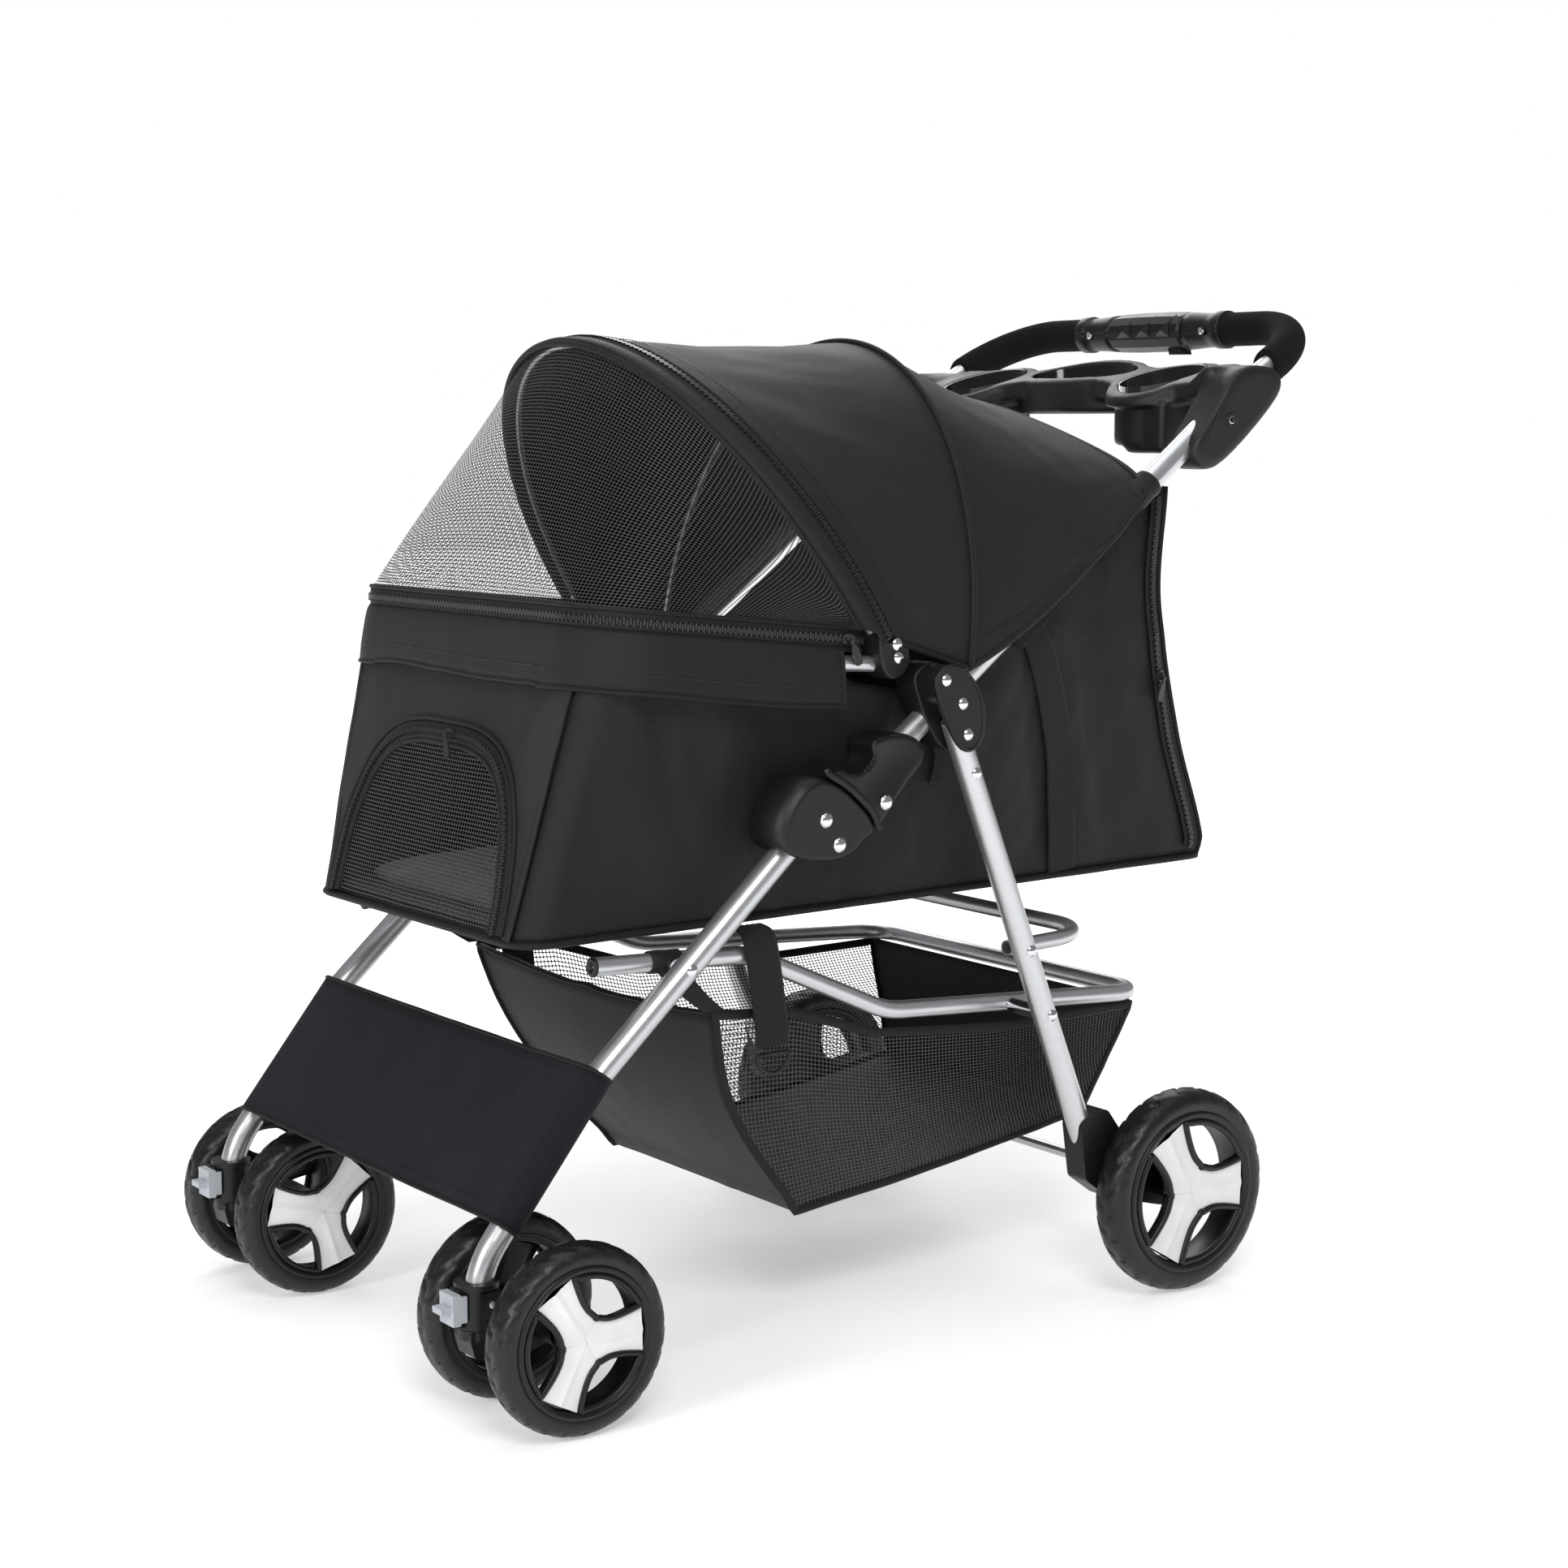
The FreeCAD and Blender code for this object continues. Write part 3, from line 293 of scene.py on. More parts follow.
# ---------------------------------------------------------------- mesh building
class Maker:
    """Collects faces, with UVs in metres, and makes one object of them."""

    def __init__(self):
        self.points, self.faces, self.uvs, self.looks, self.flat = [], [], [], [], []

    def face(self, corners, uvs, look=0, flat=False):
        self.faces.append(corners)
        self.uvs.append(uvs)
        self.looks.append(look)
        self.flat.append(flat)

    def grid(self, rows, wrap=False, look=0, flat=False, uv=None):
        """Faces between rows of points; wrap joins each row's end to its start."""
        start, count = len(self.points), len(rows[0])
        for row in rows:
            self.points.extend(row)
        span = count + (1 if wrap else 0)
        places = []
        climb = 0.0
        for index, row in enumerate(rows):
            if index:
                climb += (row[count // 2] - rows[index - 1][count // 2]).length
            run, line = 0.0, []
            for column in range(span):
                here = row[column % count]
                if column:
                    run += (here - row[column - 1]).length
                line.append(run)
            places.append([(value - run / 2, climb) for value in line])
        for r in range(len(rows) - 1):
            for c in range(span - 1):
                ring = ((r, c), (r, c + 1), (r + 1, c + 1), (r + 1, c))
                corners = [start + i * count + j % count for i, j in ring]
                self.face(corners, [uv(self.points[k]) for k in corners] if uv else
                          [places[i][j] for i, j in ring], look, flat)

    def cap(self, ring, look=0):
        start = len(self.points)
        self.points.extend(ring)
        self.face([start + i for i in range(len(ring))], [(p.y, p.z) for p in ring], look, True)

    def loft(self, rows, look=0, flat=False):
        """Closed rings joined one to the next, with both ends closed."""
        self.grid(rows, wrap=True, look=look, flat=flat)
        self.cap(rows[0][::-1], look)
        self.cap(rows[-1], look)

    def pipe(self, points, radius, sides=10, closed=False, squeeze=1.0, up=None):
        """A round bar along points; squeeze flattens it in its up direction."""
        rows = sections(points, sides, radius, closed, squeeze, up)
        if closed:
            self.grid(rows + rows[:1], wrap=True)
        else:
            self.loft(rows)

    def lathe(self, profile, centre, axis, steps=40, look=0, closed=True):
        """A profile of (along, radius) millimetres turned about an axis through centre."""
        axis = Vector(axis).normalized()
        side = axis.orthogonal().normalized()
        other = axis.cross(side)
        ring = profile + profile[:1] if closed else profile
        rows = []
        for along, radius in ring:
            spot = centre + axis * (along / 1000)
            rows.append([spot + (side * cos(a) + other * sin(a)) * (radius / 1000)
                         for a in [2 * pi * k / steps for k in range(steps)]])
        self.grid(rows, wrap=True, look=look)

    def prism(self, outline, shift):
        """A closed outline of points carried along shift, with both ends closed."""
        self.loft([outline, [point + shift for point in outline]], flat=True)

    def box(self, centre, x, y, z):
        """A block from its middle and three half-extent vectors."""
        low = [centre - x - y - z, centre + x - y - z, centre + x + y - z, centre - x + y - z]
        self.prism(low, 2 * z)

    def done(self, name, materials, body=None, slot=None, replaces=(), thickness=0.0, offset=0.0):
        """The object: materials is one or a list, thickness is in millimetres."""
        mesh = bpy.data.meshes.new(name)
        mesh.from_pydata(self.points, [], self.faces)
        layer = mesh.uv_layers.new(name="UVMap")
        index = 0
        for corners in self.uvs:
            for value in corners:
                layer.data[index].uv = value
                index += 1
        for polygon, look, flat in zip(mesh.polygons, self.looks, self.flat):
            polygon.material_index = look
            polygon.use_smooth = not flat
        tool = bmesh.new()
        tool.from_mesh(mesh)
        bmesh.ops.remove_doubles(tool, verts=tool.verts, dist=0.00001)
        bmesh.ops.recalc_face_normals(tool, faces=tool.faces)
        tool.to_mesh(mesh)
        tool.free()
        made = bpy.data.objects.new(name, mesh)
        bpy.context.scene.collection.objects.link(made)
        for material in (materials if isinstance(materials, (list, tuple)) else [materials]):
            mesh.materials.append(material)
        if thickness:
            solid = made.modifiers.new("thickness", "SOLIDIFY")
            solid.thickness = thickness / 1000
            solid.offset = offset
        return place(made, body, replaces)


def sewn(name, rows, body, material=None, replaces=(), thickness=0.0, uv=None):
    """A cloth surface through rows of points, thickened when a thickness is given."""
    made = Maker()
    made.grid(rows, uv=uv)
    return made.done(name, material or FABRIC, body, "cabin_fabric", replaces, thickness)


def recolour(made, material):
    """Leaves one material on the object."""
    made.data.materials.clear()
    made.data.materials.append(material)


def place(made, body=None, replaces=()):
    if body:
        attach(made, body)
    if replaces:
        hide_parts(*replaces)
    return made


def square(direction, along):
    """The part of a direction that stands square to along, as a unit vector."""
    return (direction - along * direction.dot(along)).normalized()


def run_length(points):
    return sum((b - a).length for a, b in zip(points, points[1:]))


def sections(points, sides, radius, closed=False, squeeze=1.0, up=None):
    """Rings round a line of points, carried along without twisting."""
    count = len(points)
    rings, normal = [], None
    for index, point in enumerate(points):
        before = points[index - 1] if index or closed else point
        after = points[(index + 1) % count] if index < count - 1 or closed else point
        along = (after - before).normalized()
        if up is not None:
            normal = square(Vector(up), along)
        elif normal is None:
            normal = along.orthogonal().normalized()
        else:
            normal = square(normal, along)
        side = along.cross(normal)
        ring = []
        for k in range(sides):
            angle = 2 * pi * k / sides
            ring.append(point + (normal * cos(angle) * squeeze + side * sin(angle)) * (radius / 1000))
        rings.append(ring)
    return rings


def resample(points, count, closed=False):
    """The same line as count points spaced evenly along it."""
    line = list(points) + ([points[0]] if closed else [])
    runs = [0.0]
    for a, b in zip(line, line[1:]):
        runs.append(runs[-1] + (b - a).length)
    found, index = [], 0
    for k in range(count):
        want = runs[-1] * k / (count if closed else count - 1)
        while index < len(line) - 2 and runs[index + 1] < want:
            index += 1
        span = runs[index + 1] - runs[index]
        share = (want - runs[index]) / span if span else 0
        found.append(line[index].lerp(line[index + 1], min(1, max(0, share))))
    return found


def rounded(points, times=3, closed=True):
    """Corner cutting: each pass replaces a corner by two points."""
    for _ in range(times):
        fresh = [] if closed else [points[0]]
        pairs = zip(points, points[1:] + points[:1]) if closed else zip(points, points[1:])
        for a, b in pairs:
            fresh += [a.lerp(b, 0.25), a.lerp(b, 0.75)]
        points = fresh if closed else fresh + [points[-1]]
    return points


def spline(knots, value):
    """A smooth curve through (input, output) knots."""
    if value <= knots[0][0]:
        return knots[0][1]
    for index in range(len(knots) - 1):
        (x0, y0), (x1, y1) = knots[index], knots[index + 1]
        if value <= x1:
            share = (value - x0) / (x1 - x0)
            before = knots[index - 1] if index else knots[index]
            after = knots[index + 2] if index + 2 < len(knots) else knots[index + 1]
            slope0 = (y1 - before[1]) / (x1 - before[0]) * (x1 - x0)
            slope1 = (after[1] - y0) / (after[0] - x0) * (x1 - x0)
            s2, s3 = share * share, share ** 3
            return ((2 * s3 - 3 * s2 + 1) * y0 + (s3 - 2 * s2 + share) * slope0
                    + (3 * s2 - 2 * s3) * y1 + (s3 - s2) * slope1)
    return knots[-1][1]


def linear(knots, value):
    if value <= knots[0][0]:
        return knots[0][1]
    for (x0, y0), (x1, y1) in zip(knots, knots[1:]):
        if value <= x1:
            return y0 + (y1 - y0) * (value - x0) / (x1 - x0)
    return knots[-1][1]


def ripple(a, b, seed):
    """Soft creases, about -1 to 1."""
    point = Vector((a, b, seed * 7.3))
    return noise.noise(point) * 1.3 + 0.5 * noise.noise(point * 2.3)


# ---------------------------------------------------------------- wheels
def arm_half(along, reach, radius):
    """Half width of a spoke at a distance from the wheel's middle."""
    near = 0.150 + 0.11 * exp(-((along / (0.20 * radius)) ** 2)) + 0.10 * (along / reach) ** 2
    return min(along * sqrt(3) + 0.001, near * radius)


def wheel(node, radius, width, centre, side, body, phase):
    """Tyre, core and three-arm cover of one wheel; side points away from the wheel's mate."""
    half = width / 2
    axis = Vector((side, 0, 0))

    def spot(offset, out, angle):
        return centre + mm(side * offset, out * cos(angle), out * sin(angle))

    tyre = Maker()
    half_profile = [(0.02, 1.0), (0.20, 0.998), (0.42, 0.990), (0.62, 0.978), (0.80, 0.957),
                    (0.93, 0.925), (1.0, 0.88), (1.0, 0.84), (0.94, 0.80)]
    steps, lugs = 216, 24
    rows = []
    for across, out in [(-across, out) for across, out in half_profile[::-1]] + half_profile:
        row = []
        for k in range(steps):
            turn = k / steps
            depth = 0.0
            if out > 0.91:
                beat = 2 * pi * (turn * lugs + 0.9 * abs(across) ** 1.6 + (0.5 if across > 0 else 0.0))
                wave = sin(beat + 0.8 * sin(beat))
                depth = 2.3 * max(0.0, wave - 0.5) / 0.5
                if abs(across) < 0.03:
                    depth = 1.1
            row.append(spot(across * half, radius * out - depth, 2 * pi * turn))
        rows.append(row)
    tyre.grid(rows, wrap=True)
    tyre.done("tyre_" + node + "_tread", RUBBER, body, "tyre", ["tyre_" + node])

    rim_in, bead = radius * 0.70, radius * 0.80
    core, cover = Maker(), Maker()
    core.lathe([(half - 1.0, bead), (half + 0.6, bead - 1.2), (half + 0.6, bead - 3.4),
                (half - 1.4, rim_in + 1.2), (half - 4.5, rim_in), (4 - half, rim_in),
                (0.8 - half, rim_in + 2.4), (0.4 - half, bead - 1), (1.0 - half, bead)],
               centre, axis, 96)
    core.lathe([(1.2 - half, 4.06), (1.2 - half, 10.5), (3.2 - half, 12.5), (half - 8, 15), (half - 4.6, 15.4),
                (half - 4.6, 4.06)], centre, axis, 48)
    reach = rim_in * 1.002
    spans = 22
    for arm in range(3):
        turn = radians(phase + 120 * arm)
        lower, upper, ridge = [], [], []
        for k in range(spans + 1):
            along = reach * (0.10 + 0.90 * k / spans) if k else 0.5
            wide = arm_half(along, reach, radius)
            long = sqrt(max(0.0, reach * reach - wide * wide)) if k == spans else along
            for face, offset in ((lower, half - 12), (upper, half - 5)):
                face.append([spot(offset, hypot(long, wide * 1.06 * s),
                                  turn + atan2(wide * 1.06 * s, long))
                             for s in (-1, -0.5, 0, 0.5, 1)])
            crown = 1.5 * (1 - exp(-along / (0.3 * radius)))
            ridge.append([spot(offset, hypot(long, wide * s), turn + atan2(wide * s, long))
                          for s, offset in ((-1, half - 5.2), (-0.985, half - 2.6), (-0.3, half - 2.3),
                                            (0, half - 2.3 + crown), (0.3, half - 2.3), (0.985, half - 2.6),
                                            (1, half - 5.2))])
        core.grid(lower)
        core.grid(upper)
        for edge in (0, -1):
            core.grid([[row[edge] for row in lower], [row[edge] for row in upper]])
        cover.grid(ridge, flat=True)
    for opening in range(3):
        loop = []
        for arm, hand in ((opening, 1), (opening + 1, -1)):
            turn = radians(phase + 120 * arm)
            run = []
            for k in range(4, spans + 1):
                along = reach * 0.945 * k / spans
                wide = arm_half(along, reach, radius) + 1.5
                run.append(spot(half - 2.2, hypot(along, wide), turn + hand * atan2(wide, along)))
            loop += run if hand > 0 else run[::-1]
            if hand > 0:
                last = arm_half(reach * 0.945, reach, radius) + 1.5
                begin = turn + atan2(last, reach * 0.945)
                end = radians(phase + 120 * (opening + 1)) - atan2(last, reach * 0.945)
                loop += [spot(half - 2.2, reach * 0.985, begin + (end - begin) * k / 13)
                         for k in range(1, 13)]
        core.pipe(rounded(resample(loop, 48, closed=True), 1), 0.034 * radius, 8, closed=True)
    core.done("wheel_core_" + node + "_rim", RIM_PLASTIC, body, "black_plastic",
              ["wheel_core_" + node])
    cover.lathe([(half - 2.1, 0.01), (half - 2.2, 1.3), (half - 3.2, 1.3)], centre, axis, 12,
                closed=False)
    cover.done("spoke_cover_" + node + "_face", WHITE, body, "white_plastic",
               ["spoke_cover_" + node])


# degrees that each wheel has rolled, so that no two covers stand alike
SPOKE_TURN = {"rear_left": 95, "rear_right": -1, "front_left_outer": 20, "front_left_inner": 46,
              "front_right_outer": 2, "front_right_inner": 70}


def wheels():
    front, rear = (78.0, 34.0), (94.0, 36.0)      # radius and width
    for name, side in SIDES.items():
        made = [("rear_" + name, rear, side), ("front_%s_outer" % name, front, side),
                ("front_%s_inner" % name, front, -side)]
        for code, size, outward in made:
            wheel(code, *size, pivot("spin_" + code), outward, "wheel_" + code, SPOKE_TURN[code])


wheels()


# ---------------------------------------------------------------- sewn details
def along_line(points, outward, pitch):
    """(place, along, out, side) at each pitch metres of a line; outward is one or many directions."""
    count = max(8, int(run_length(points) / pitch))
    line = resample(points, count)
    outs = resample(outward, count) if len(outward) > 1 else list(outward) * count
    found = []
    for index, spot in enumerate(line):
        along = (line[min(index + 1, count - 1)] - line[max(index - 1, 0)]).normalized()
        out = square(outs[index], along)
        found.append((spot, along, out, along.cross(out)))
    return found


def zipper(name, points, outward, body, width, slider_at, pull):
    """Tape, interlocking teeth, and a slider with its pull at a share of the length."""
    line = along_line(points, outward, 0.0026)
    teeth = Maker()
    rows = []
    for index, (spot, along, out, side) in enumerate(line):
        rows.append([spot + side * (width / 2000) * s + out * (0.0012 if abs(s) < 0.6 else 0.0004)
                     for s in (-1, -0.55, -0.15, 0.15, 0.55, 1)])
        hand = 1 if index % 2 else -1
        teeth.box(spot + out * 0.0022 + side * 0.0008 * hand, along * 0.0009, side * 0.0027, out * 0.0013)
        if index == int(slider_at * (len(line) - 1)):
            slider(teeth, spot + out * 0.0034, along, side, out, Vector(pull))
    sewn(name + "_tape", rows, body, LINING, thickness=0.7)
    teeth.done(name + "_teeth", ZIP_TEETH, body, "cabin_fabric")


def slider(maker, spot, along, side, out, pull):
    """Slider body with a bridge and a flat tapered pull tab."""
    outline = [(-5.5, -3.2), (-2.0, -4.6), (5.5, -4.0), (6.5, 0.0), (5.5, 4.0), (-2.0, 4.6),
               (-5.5, 3.2)]
    plate = rounded([spot + (along * a + side * b) / 1000 - out * 0.002 for a, b in outline], 1)
    maker.prism(plate, out * 0.0038)
    maker.box(spot + out * 0.0030, along * 0.0034, side * 0.0011, out * 0.0014)
    pull = pull.normalized()
    hinge = spot + out * 0.0044
    wide = pull.cross(out).normalized()
    tab = [(0, 1.6), (2, 2.0), (5, 1.6), (9, 3.4), (19, 4.2), (23, 3.4), (24, 0)]
    edge = [hinge + (pull * a + wide * b) / 1000 for a, b in tab]
    edge += [hinge + (pull * a - wide * b) / 1000 for a, b in reversed(tab[:-1])]
    maker.prism(edge, out * 0.0016)


def binding(name, points, body, radius, squeeze=1.0, up=None, closed=False):
    """A sewn edge: piping, or a folded tape where squeeze is under 1."""
    made = Maker()
    made.pipe(points, radius, 8, closed, squeeze, up)
    return made.done(name, LINING, body, "cabin_fabric")


def stitches(name, points, outward, body):
    """A row of raised thread dashes along points."""
    made = Maker()
    for spot, along, out, side in along_line(points, outward, 0.0046)[1:-1]:
        made.box(spot + out * 0.0009, along * 0.0015, side * 0.00035, out * 0.00035)
    made.done(name, ZIP_TEETH, body, "cabin_fabric")


def ribbon(name, points, across, width, thickness=1.4):
    """A flat ribbed strap along points; across is its width direction."""
    made = Maker()
    rows = []
    count = max(6, int(run_length(points) / 0.0012))
    line = resample(points, count)
    side = Vector(across).normalized()
    for index, point in enumerate(line):
        along = line[min(index + 1, count - 1)] - line[max(index - 1, 0)]
        out = along.cross(side).normalized()
        row = []
        for k in range(13):
            rib = 0.00028 if (index + k) % 2 else -0.00028
            row.append(point + side * (width / 2000) * (k / 6 - 1) + out * rib * (0 < k < 12))
        rows.append(row)
    made.grid(rows)
    return made.done(name, WEBBING, UPPER, "webbing", thickness=thickness)


# ---------------------------------------------------------------- cabin
UPPER = "upper_frame"
CABIN_LOW_Z, CABIN_TOP_Z = 373.0, 600.0
CABIN_LOW_W, CABIN_TOP_W = 187.0, 212.0
REAR_LINE = [(383, 822), (402, 826), (506, 781), (627, 746), (733, 752)]
TOP_LINE = [(124, 634), (350, 610), (364, 586), (388, 574), (444, 564), (520, 586), (704, 727),
            (752, 737)]
FRONT_ROUND, REAR_ROUND = 30.0, 10.0
FRONT_LOW_Y = 70.0
FRONT_LOW_Z, FRONT_TOP_Z = 373.5, 634.0
REAR_LOW_Z, REAR_TOP_Z = 383.0, 733.0


def half_width(z):
    share = min(1.0, (z - CABIN_LOW_Z) / (CABIN_TOP_Z - CABIN_LOW_Z))
    return CABIN_LOW_W + (CABIN_TOP_W - CABIN_LOW_W) * share


def front_y(z):
    return FRONT_LOW_Y + 58 * (z - CABIN_LOW_Z) / 233


def rear_y(z):
    return spline(REAR_LINE, z)


def floor_z(y):
    return CABIN_LOW_Z + (y - FRONT_LOW_Y) / 75


def top_z(y):
    return linear(TOP_LINE, y)


def wall_plan(station, z):
    """(x, y, outward); station 0..1 is the front corner, 1..2 the side, 2..3 the rear corner."""
    wide, front, rear = half_width(z), front_y(z), rear_y(z)
    if station <= 1:
        angle = pi / 2 * station
        return (wide - FRONT_ROUND + FRONT_ROUND * sin(angle),
                front + FRONT_ROUND * (1 - cos(angle)), (sin(angle), -cos(angle)))
    if station <= 2:
        low, high = front + FRONT_ROUND, rear - REAR_ROUND
        return wide, low + (high - low) * (station - 1), (1, 0)
    angle = pi / 2 * (station - 2)
    return (wide - REAR_ROUND * (1 - cos(angle)), rear - REAR_ROUND + REAR_ROUND * sin(angle),
            (cos(angle), sin(angle)))


def wall(station, share, side, lift=0.0):
    """A point on the cabin's side wall; share runs from the floor to the rim."""
    z = 480.0
    for _ in range(6):
        y = wall_plan(station, z)[1]
        z = floor_z(y) + share * (top_z(y) - floor_z(y))
    x, y, out = wall_plan(station, z)
    edge = min(1.0, 6 * share * (1 - share) + 0.15)
    calm = min(1.0, max(0.0, 3 * (station - 0.8)), max(0.0, 6 * (2.05 - station)))
    crease = ripple(y / 62 + z / 190, z / 280 - y / 900, 3 + side)
    sharp = copysign(abs(crease) ** 0.6, crease)
    fine = ripple(y / 26 - z / 60, z / 80, 11 + side)
    push = lift - 2.9 + edge * calm * (6.4 * sharp + 1.6 * fine)
    return at(side * (x + out[0] * push), y + out[1] * push, z)


def cabin_walls():
    stations = evenly(8)[:-1] + evenly(90, 1, 2)[:-1] + evenly(4, 2, 3)
    for name, side in SIDES.items():
        rows = [[wall(station, share, side) for station in stations] for share in evenly(30)]
        sewn("cabin_side_" + name, rows, UPPER, thickness=1.2)


def front_face(x, z, push=0.0):
    """A point on the front panel, which bows out a little between its corners."""
    crown = 3.0 * (1 - (x / 190) ** 2) + 1.2 * ripple(x / 60, z / 80, 5)
    return at(x, front_y(z) - crown * min(1, max(0, (FRONT_TOP_Z - z) / 60)) - push, z)


DOOR_HALF, DOOR_FOOT_Z, DOOR_TOP_Z = 150.0, 379.0, 536.0


def door_edge(count, inset=0.0):
    """The arch of the front door from +X over the top to -X, as (x, z)."""
    found = []
    for angle in evenly(count - 1, 0, pi):
        c, s = cos(angle), sin(angle)
        x = (DOOR_HALF - inset) * copysign(abs(c) ** 0.62, c)
        found.append((x, DOOR_FOOT_Z + (DOOR_TOP_Z - inset - DOOR_FOOT_Z) * abs(s) ** 0.80))
    return found


def cabin_front():
    count = 97
    arch = door_edge(count)
    ends = [(half_width(z) - FRONT_ROUND + 8, z) for z in (FRONT_LOW_Z, FRONT_TOP_Z)]
    corners = ends + [(-x, z) for x, z in ends[::-1]]
    outer = resample([Vector((x, 0, z)) for x, z in corners], count)
    rows = [[front_face(a[0] + (b.x - a[0]) * share, a[1] + (b.z - a[1]) * share)
             for a, b in zip(arch, outer)] for share in evenly(12)]
    sewn("cabin_front", rows, UPPER, thickness=1.2)
    rows = [[front_face(x, z + (DOOR_FOOT_Z - z) * share, 1.0) for x, z in arch]
            for share in evenly(12)]
    sewn("cabin_door_mesh", rows, UPPER, MESH, uv=lambda p: (p.x, p.z))
    line = [front_face(x, z, 1.5) for x, z in door_edge(121, 6)]
    zipper("cabin_door_zipper", line, [Vector((0, -1, 0.25))], UPPER, 16, 0.47, (0.5, -0.2, -0.8))
    for label, inset in (("outer", -4.5), ("inner", 14.5)):
        edge = [front_face(x, z, 1.5) for x, z in door_edge(121, inset)]
        binding("cabin_door_hem_" + label, edge, UPPER, 2.2)
    for name, side in SIDES.items():
        edge = [wall(0.0, share, side, 2.2) for share in evenly(40)]
        binding("cabin_front_piping_" + name, edge, UPPER, 2.4)


def cabin_rear():
    rows = []
    for z in evenly(30, REAR_LOW_Z, REAR_TOP_Z):
        wide = half_width(z) - REAR_ROUND
        row = []
        for x in evenly(40, wide, -wide):
            slack = 2.2 * ripple(x / 80, z / 90, 21) * (1 - (x / wide) ** 2)
            row.append(at(x, rear_y(z) + slack, z))
        rows.append(row)
    sewn("cabin_rear", rows, UPPER, thickness=1.2)
    for name, side in SIDES.items():
        line = [wall(1.985, share, side, 2.2) for share in evenly(40, 0.03, 0.98)]
        zipper("cabin_rear_zipper_" + name, line, [Vector((side, 0.2, 0))], UPPER, 15, 0.52,
               (0, -0.3, -1))
        edge = [wall(2.5, share, side, 2.0) for share in evenly(40)]
        binding("cabin_rear_piping_" + name, edge, UPPER, 2.4)


def on_wall(y, z, side, lift):
    """The wall point nearest to a side-view place."""
    low, high = front_y(z) + FRONT_ROUND, rear_y(z) - REAR_ROUND
    return wall(1 + (y - low) / (high - low), (z - floor_z(y)) / (top_z(y) - floor_z(y)), side, lift)


def cabin_straps():
    """Webbing sewn down each side, a short buckle strap under the hem and a loop behind the bracket."""
    # places as (y, z), width, lift from the wall, width direction
    runs = {"long": ([(584, 616), (598, 592), (612, 556), (626, 515), (634, 490), (639, 455),
                      (643, 420), (645, 384)], 32, 2.4, (0, 1, 0.1)),
            "short": ([(624, 650), (610, 634), (594, 620), (578, 608), (566, 598)],
                      13, 4.8, (0, 0.7, -0.7)),
            "loop": ([(486, 512), (489, 505), (490, 494), (489, 483), (486, 478)],
                     12, 4.4, (0, 1, 0))}
    for name, side in SIDES.items():
        for label, (places, width, lift, across) in runs.items():
            line = rounded([on_wall(y, z, side, lift) for y, z in places], 2, closed=False)
            ribbon("cabin_strap_%s_%s" % (label, name), line, across, width, 1.6)


def cabin_floor():
    rows = []
    for y in evenly(30, 72, 818):
        wide = half_width(CABIN_LOW_Z) - 2
        if y < 100:
            wide -= FRONT_ROUND - sqrt(max(0, FRONT_ROUND ** 2 - (100 - y) ** 2))
        rows.append([at(wide * (1 - k / 8), y, floor_z(y) - 1 + 0.8 * ripple(y / 60, k / 3, 2))
                     for k in range(17)])
    sewn("cabin_floor", rows, UPPER, None, ["cabin_shell"], 1.4)
    stations = evenly(6, 3, 2) + evenly(40, 2, 1)[1:] + evenly(8, 1, 0)[1:]
    half = [wall(station, 0, 1, 2.5) for station in stations]
    other = [wall(station, 0, -1, 2.5) for station in reversed(stations)]
    binding("cabin_floor_piping", resample(half + other, 240, closed=True), UPPER, 3.0, closed=True)


def floor_board():
    """Stiff board under the cushion, with rounded corners and a slight tilt."""
    low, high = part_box("floor_board")
    middle, half = (low + high) / 2, (high - low) / 2
    made = Maker()
    rows = []
    for inset, lift in ((0.004, 0.0), (0.001, 0.0004), (0.0, 0.0015), (0.0, 0.0030),
                        (0.001, 0.0038), (0.004, 0.0042)):
        ring = []
        for k in range(96):
            angle = 2 * pi * k / 96
            c, s = cos(angle), sin(angle)
            x = (half.x - inset) * copysign(abs(c) ** 0.12, c)
            y = middle.y + (half.y - inset) * copysign(abs(s) ** 0.08, s)
            ring.append(Vector((x, y, low.z + lift + (y - low.y) / 75)))
        rows.append(ring)
    made.loft(rows)
    made.done("floor_board_panel", BOARD, UPPER, "board", ["floor_board"])


def cushion():
    """Fleece pad on the floor board: a crowned block, swollen by a cloth run."""
    low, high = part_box("cushion")
    middle, size = (low + high) / 2, (high - low) / 2
    tool = bmesh.new()
    bmesh.ops.create_cube(tool, size=2.0)
    bmesh.ops.subdivide_edges(tool, edges=tool.edges, cuts=5, use_grid_fill=True)
    for vert in tool.verts:
        x, y, z = vert.co
        pinch = 1 - 0.03 * (abs(x) ** 4 + abs(y) ** 4)
        tilt = (middle.y + y * size.y - low.y) * 10 / 750
        crown = 0.35 + 0.5 * (1 - x ** 4) * (1 - y ** 4)
        vert.co = Vector((x * size.x * pinch, middle.y + y * size.y * pinch,
                          low.z + 0.001 + tilt + (z + 1) * 0.0125 * crown))
    mesh = bpy.data.meshes.new("cushion_pad")
    tool.to_mesh(mesh)
    tool.free()
    made = bpy.data.objects.new("cushion_pad", mesh)
    bpy.context.scene.collection.objects.link(made)
    remesh(made, 0.006)
    swell(made, 0.006)
    smooth(made, 0.5, 6)
    recolour(made, FLEECE)
    place(made, UPPER, ["cushion"])


def baked(made):
    """Applies the object's modifiers to its own mesh."""
    graph = bpy.context.evaluated_depsgraph_get()
    fresh = bpy.data.meshes.new_from_object(made.evaluated_get(graph))
    made.modifiers.clear()
    made.data = fresh
    for polygon in fresh.polygons:
        polygon.use_smooth = True
    return made


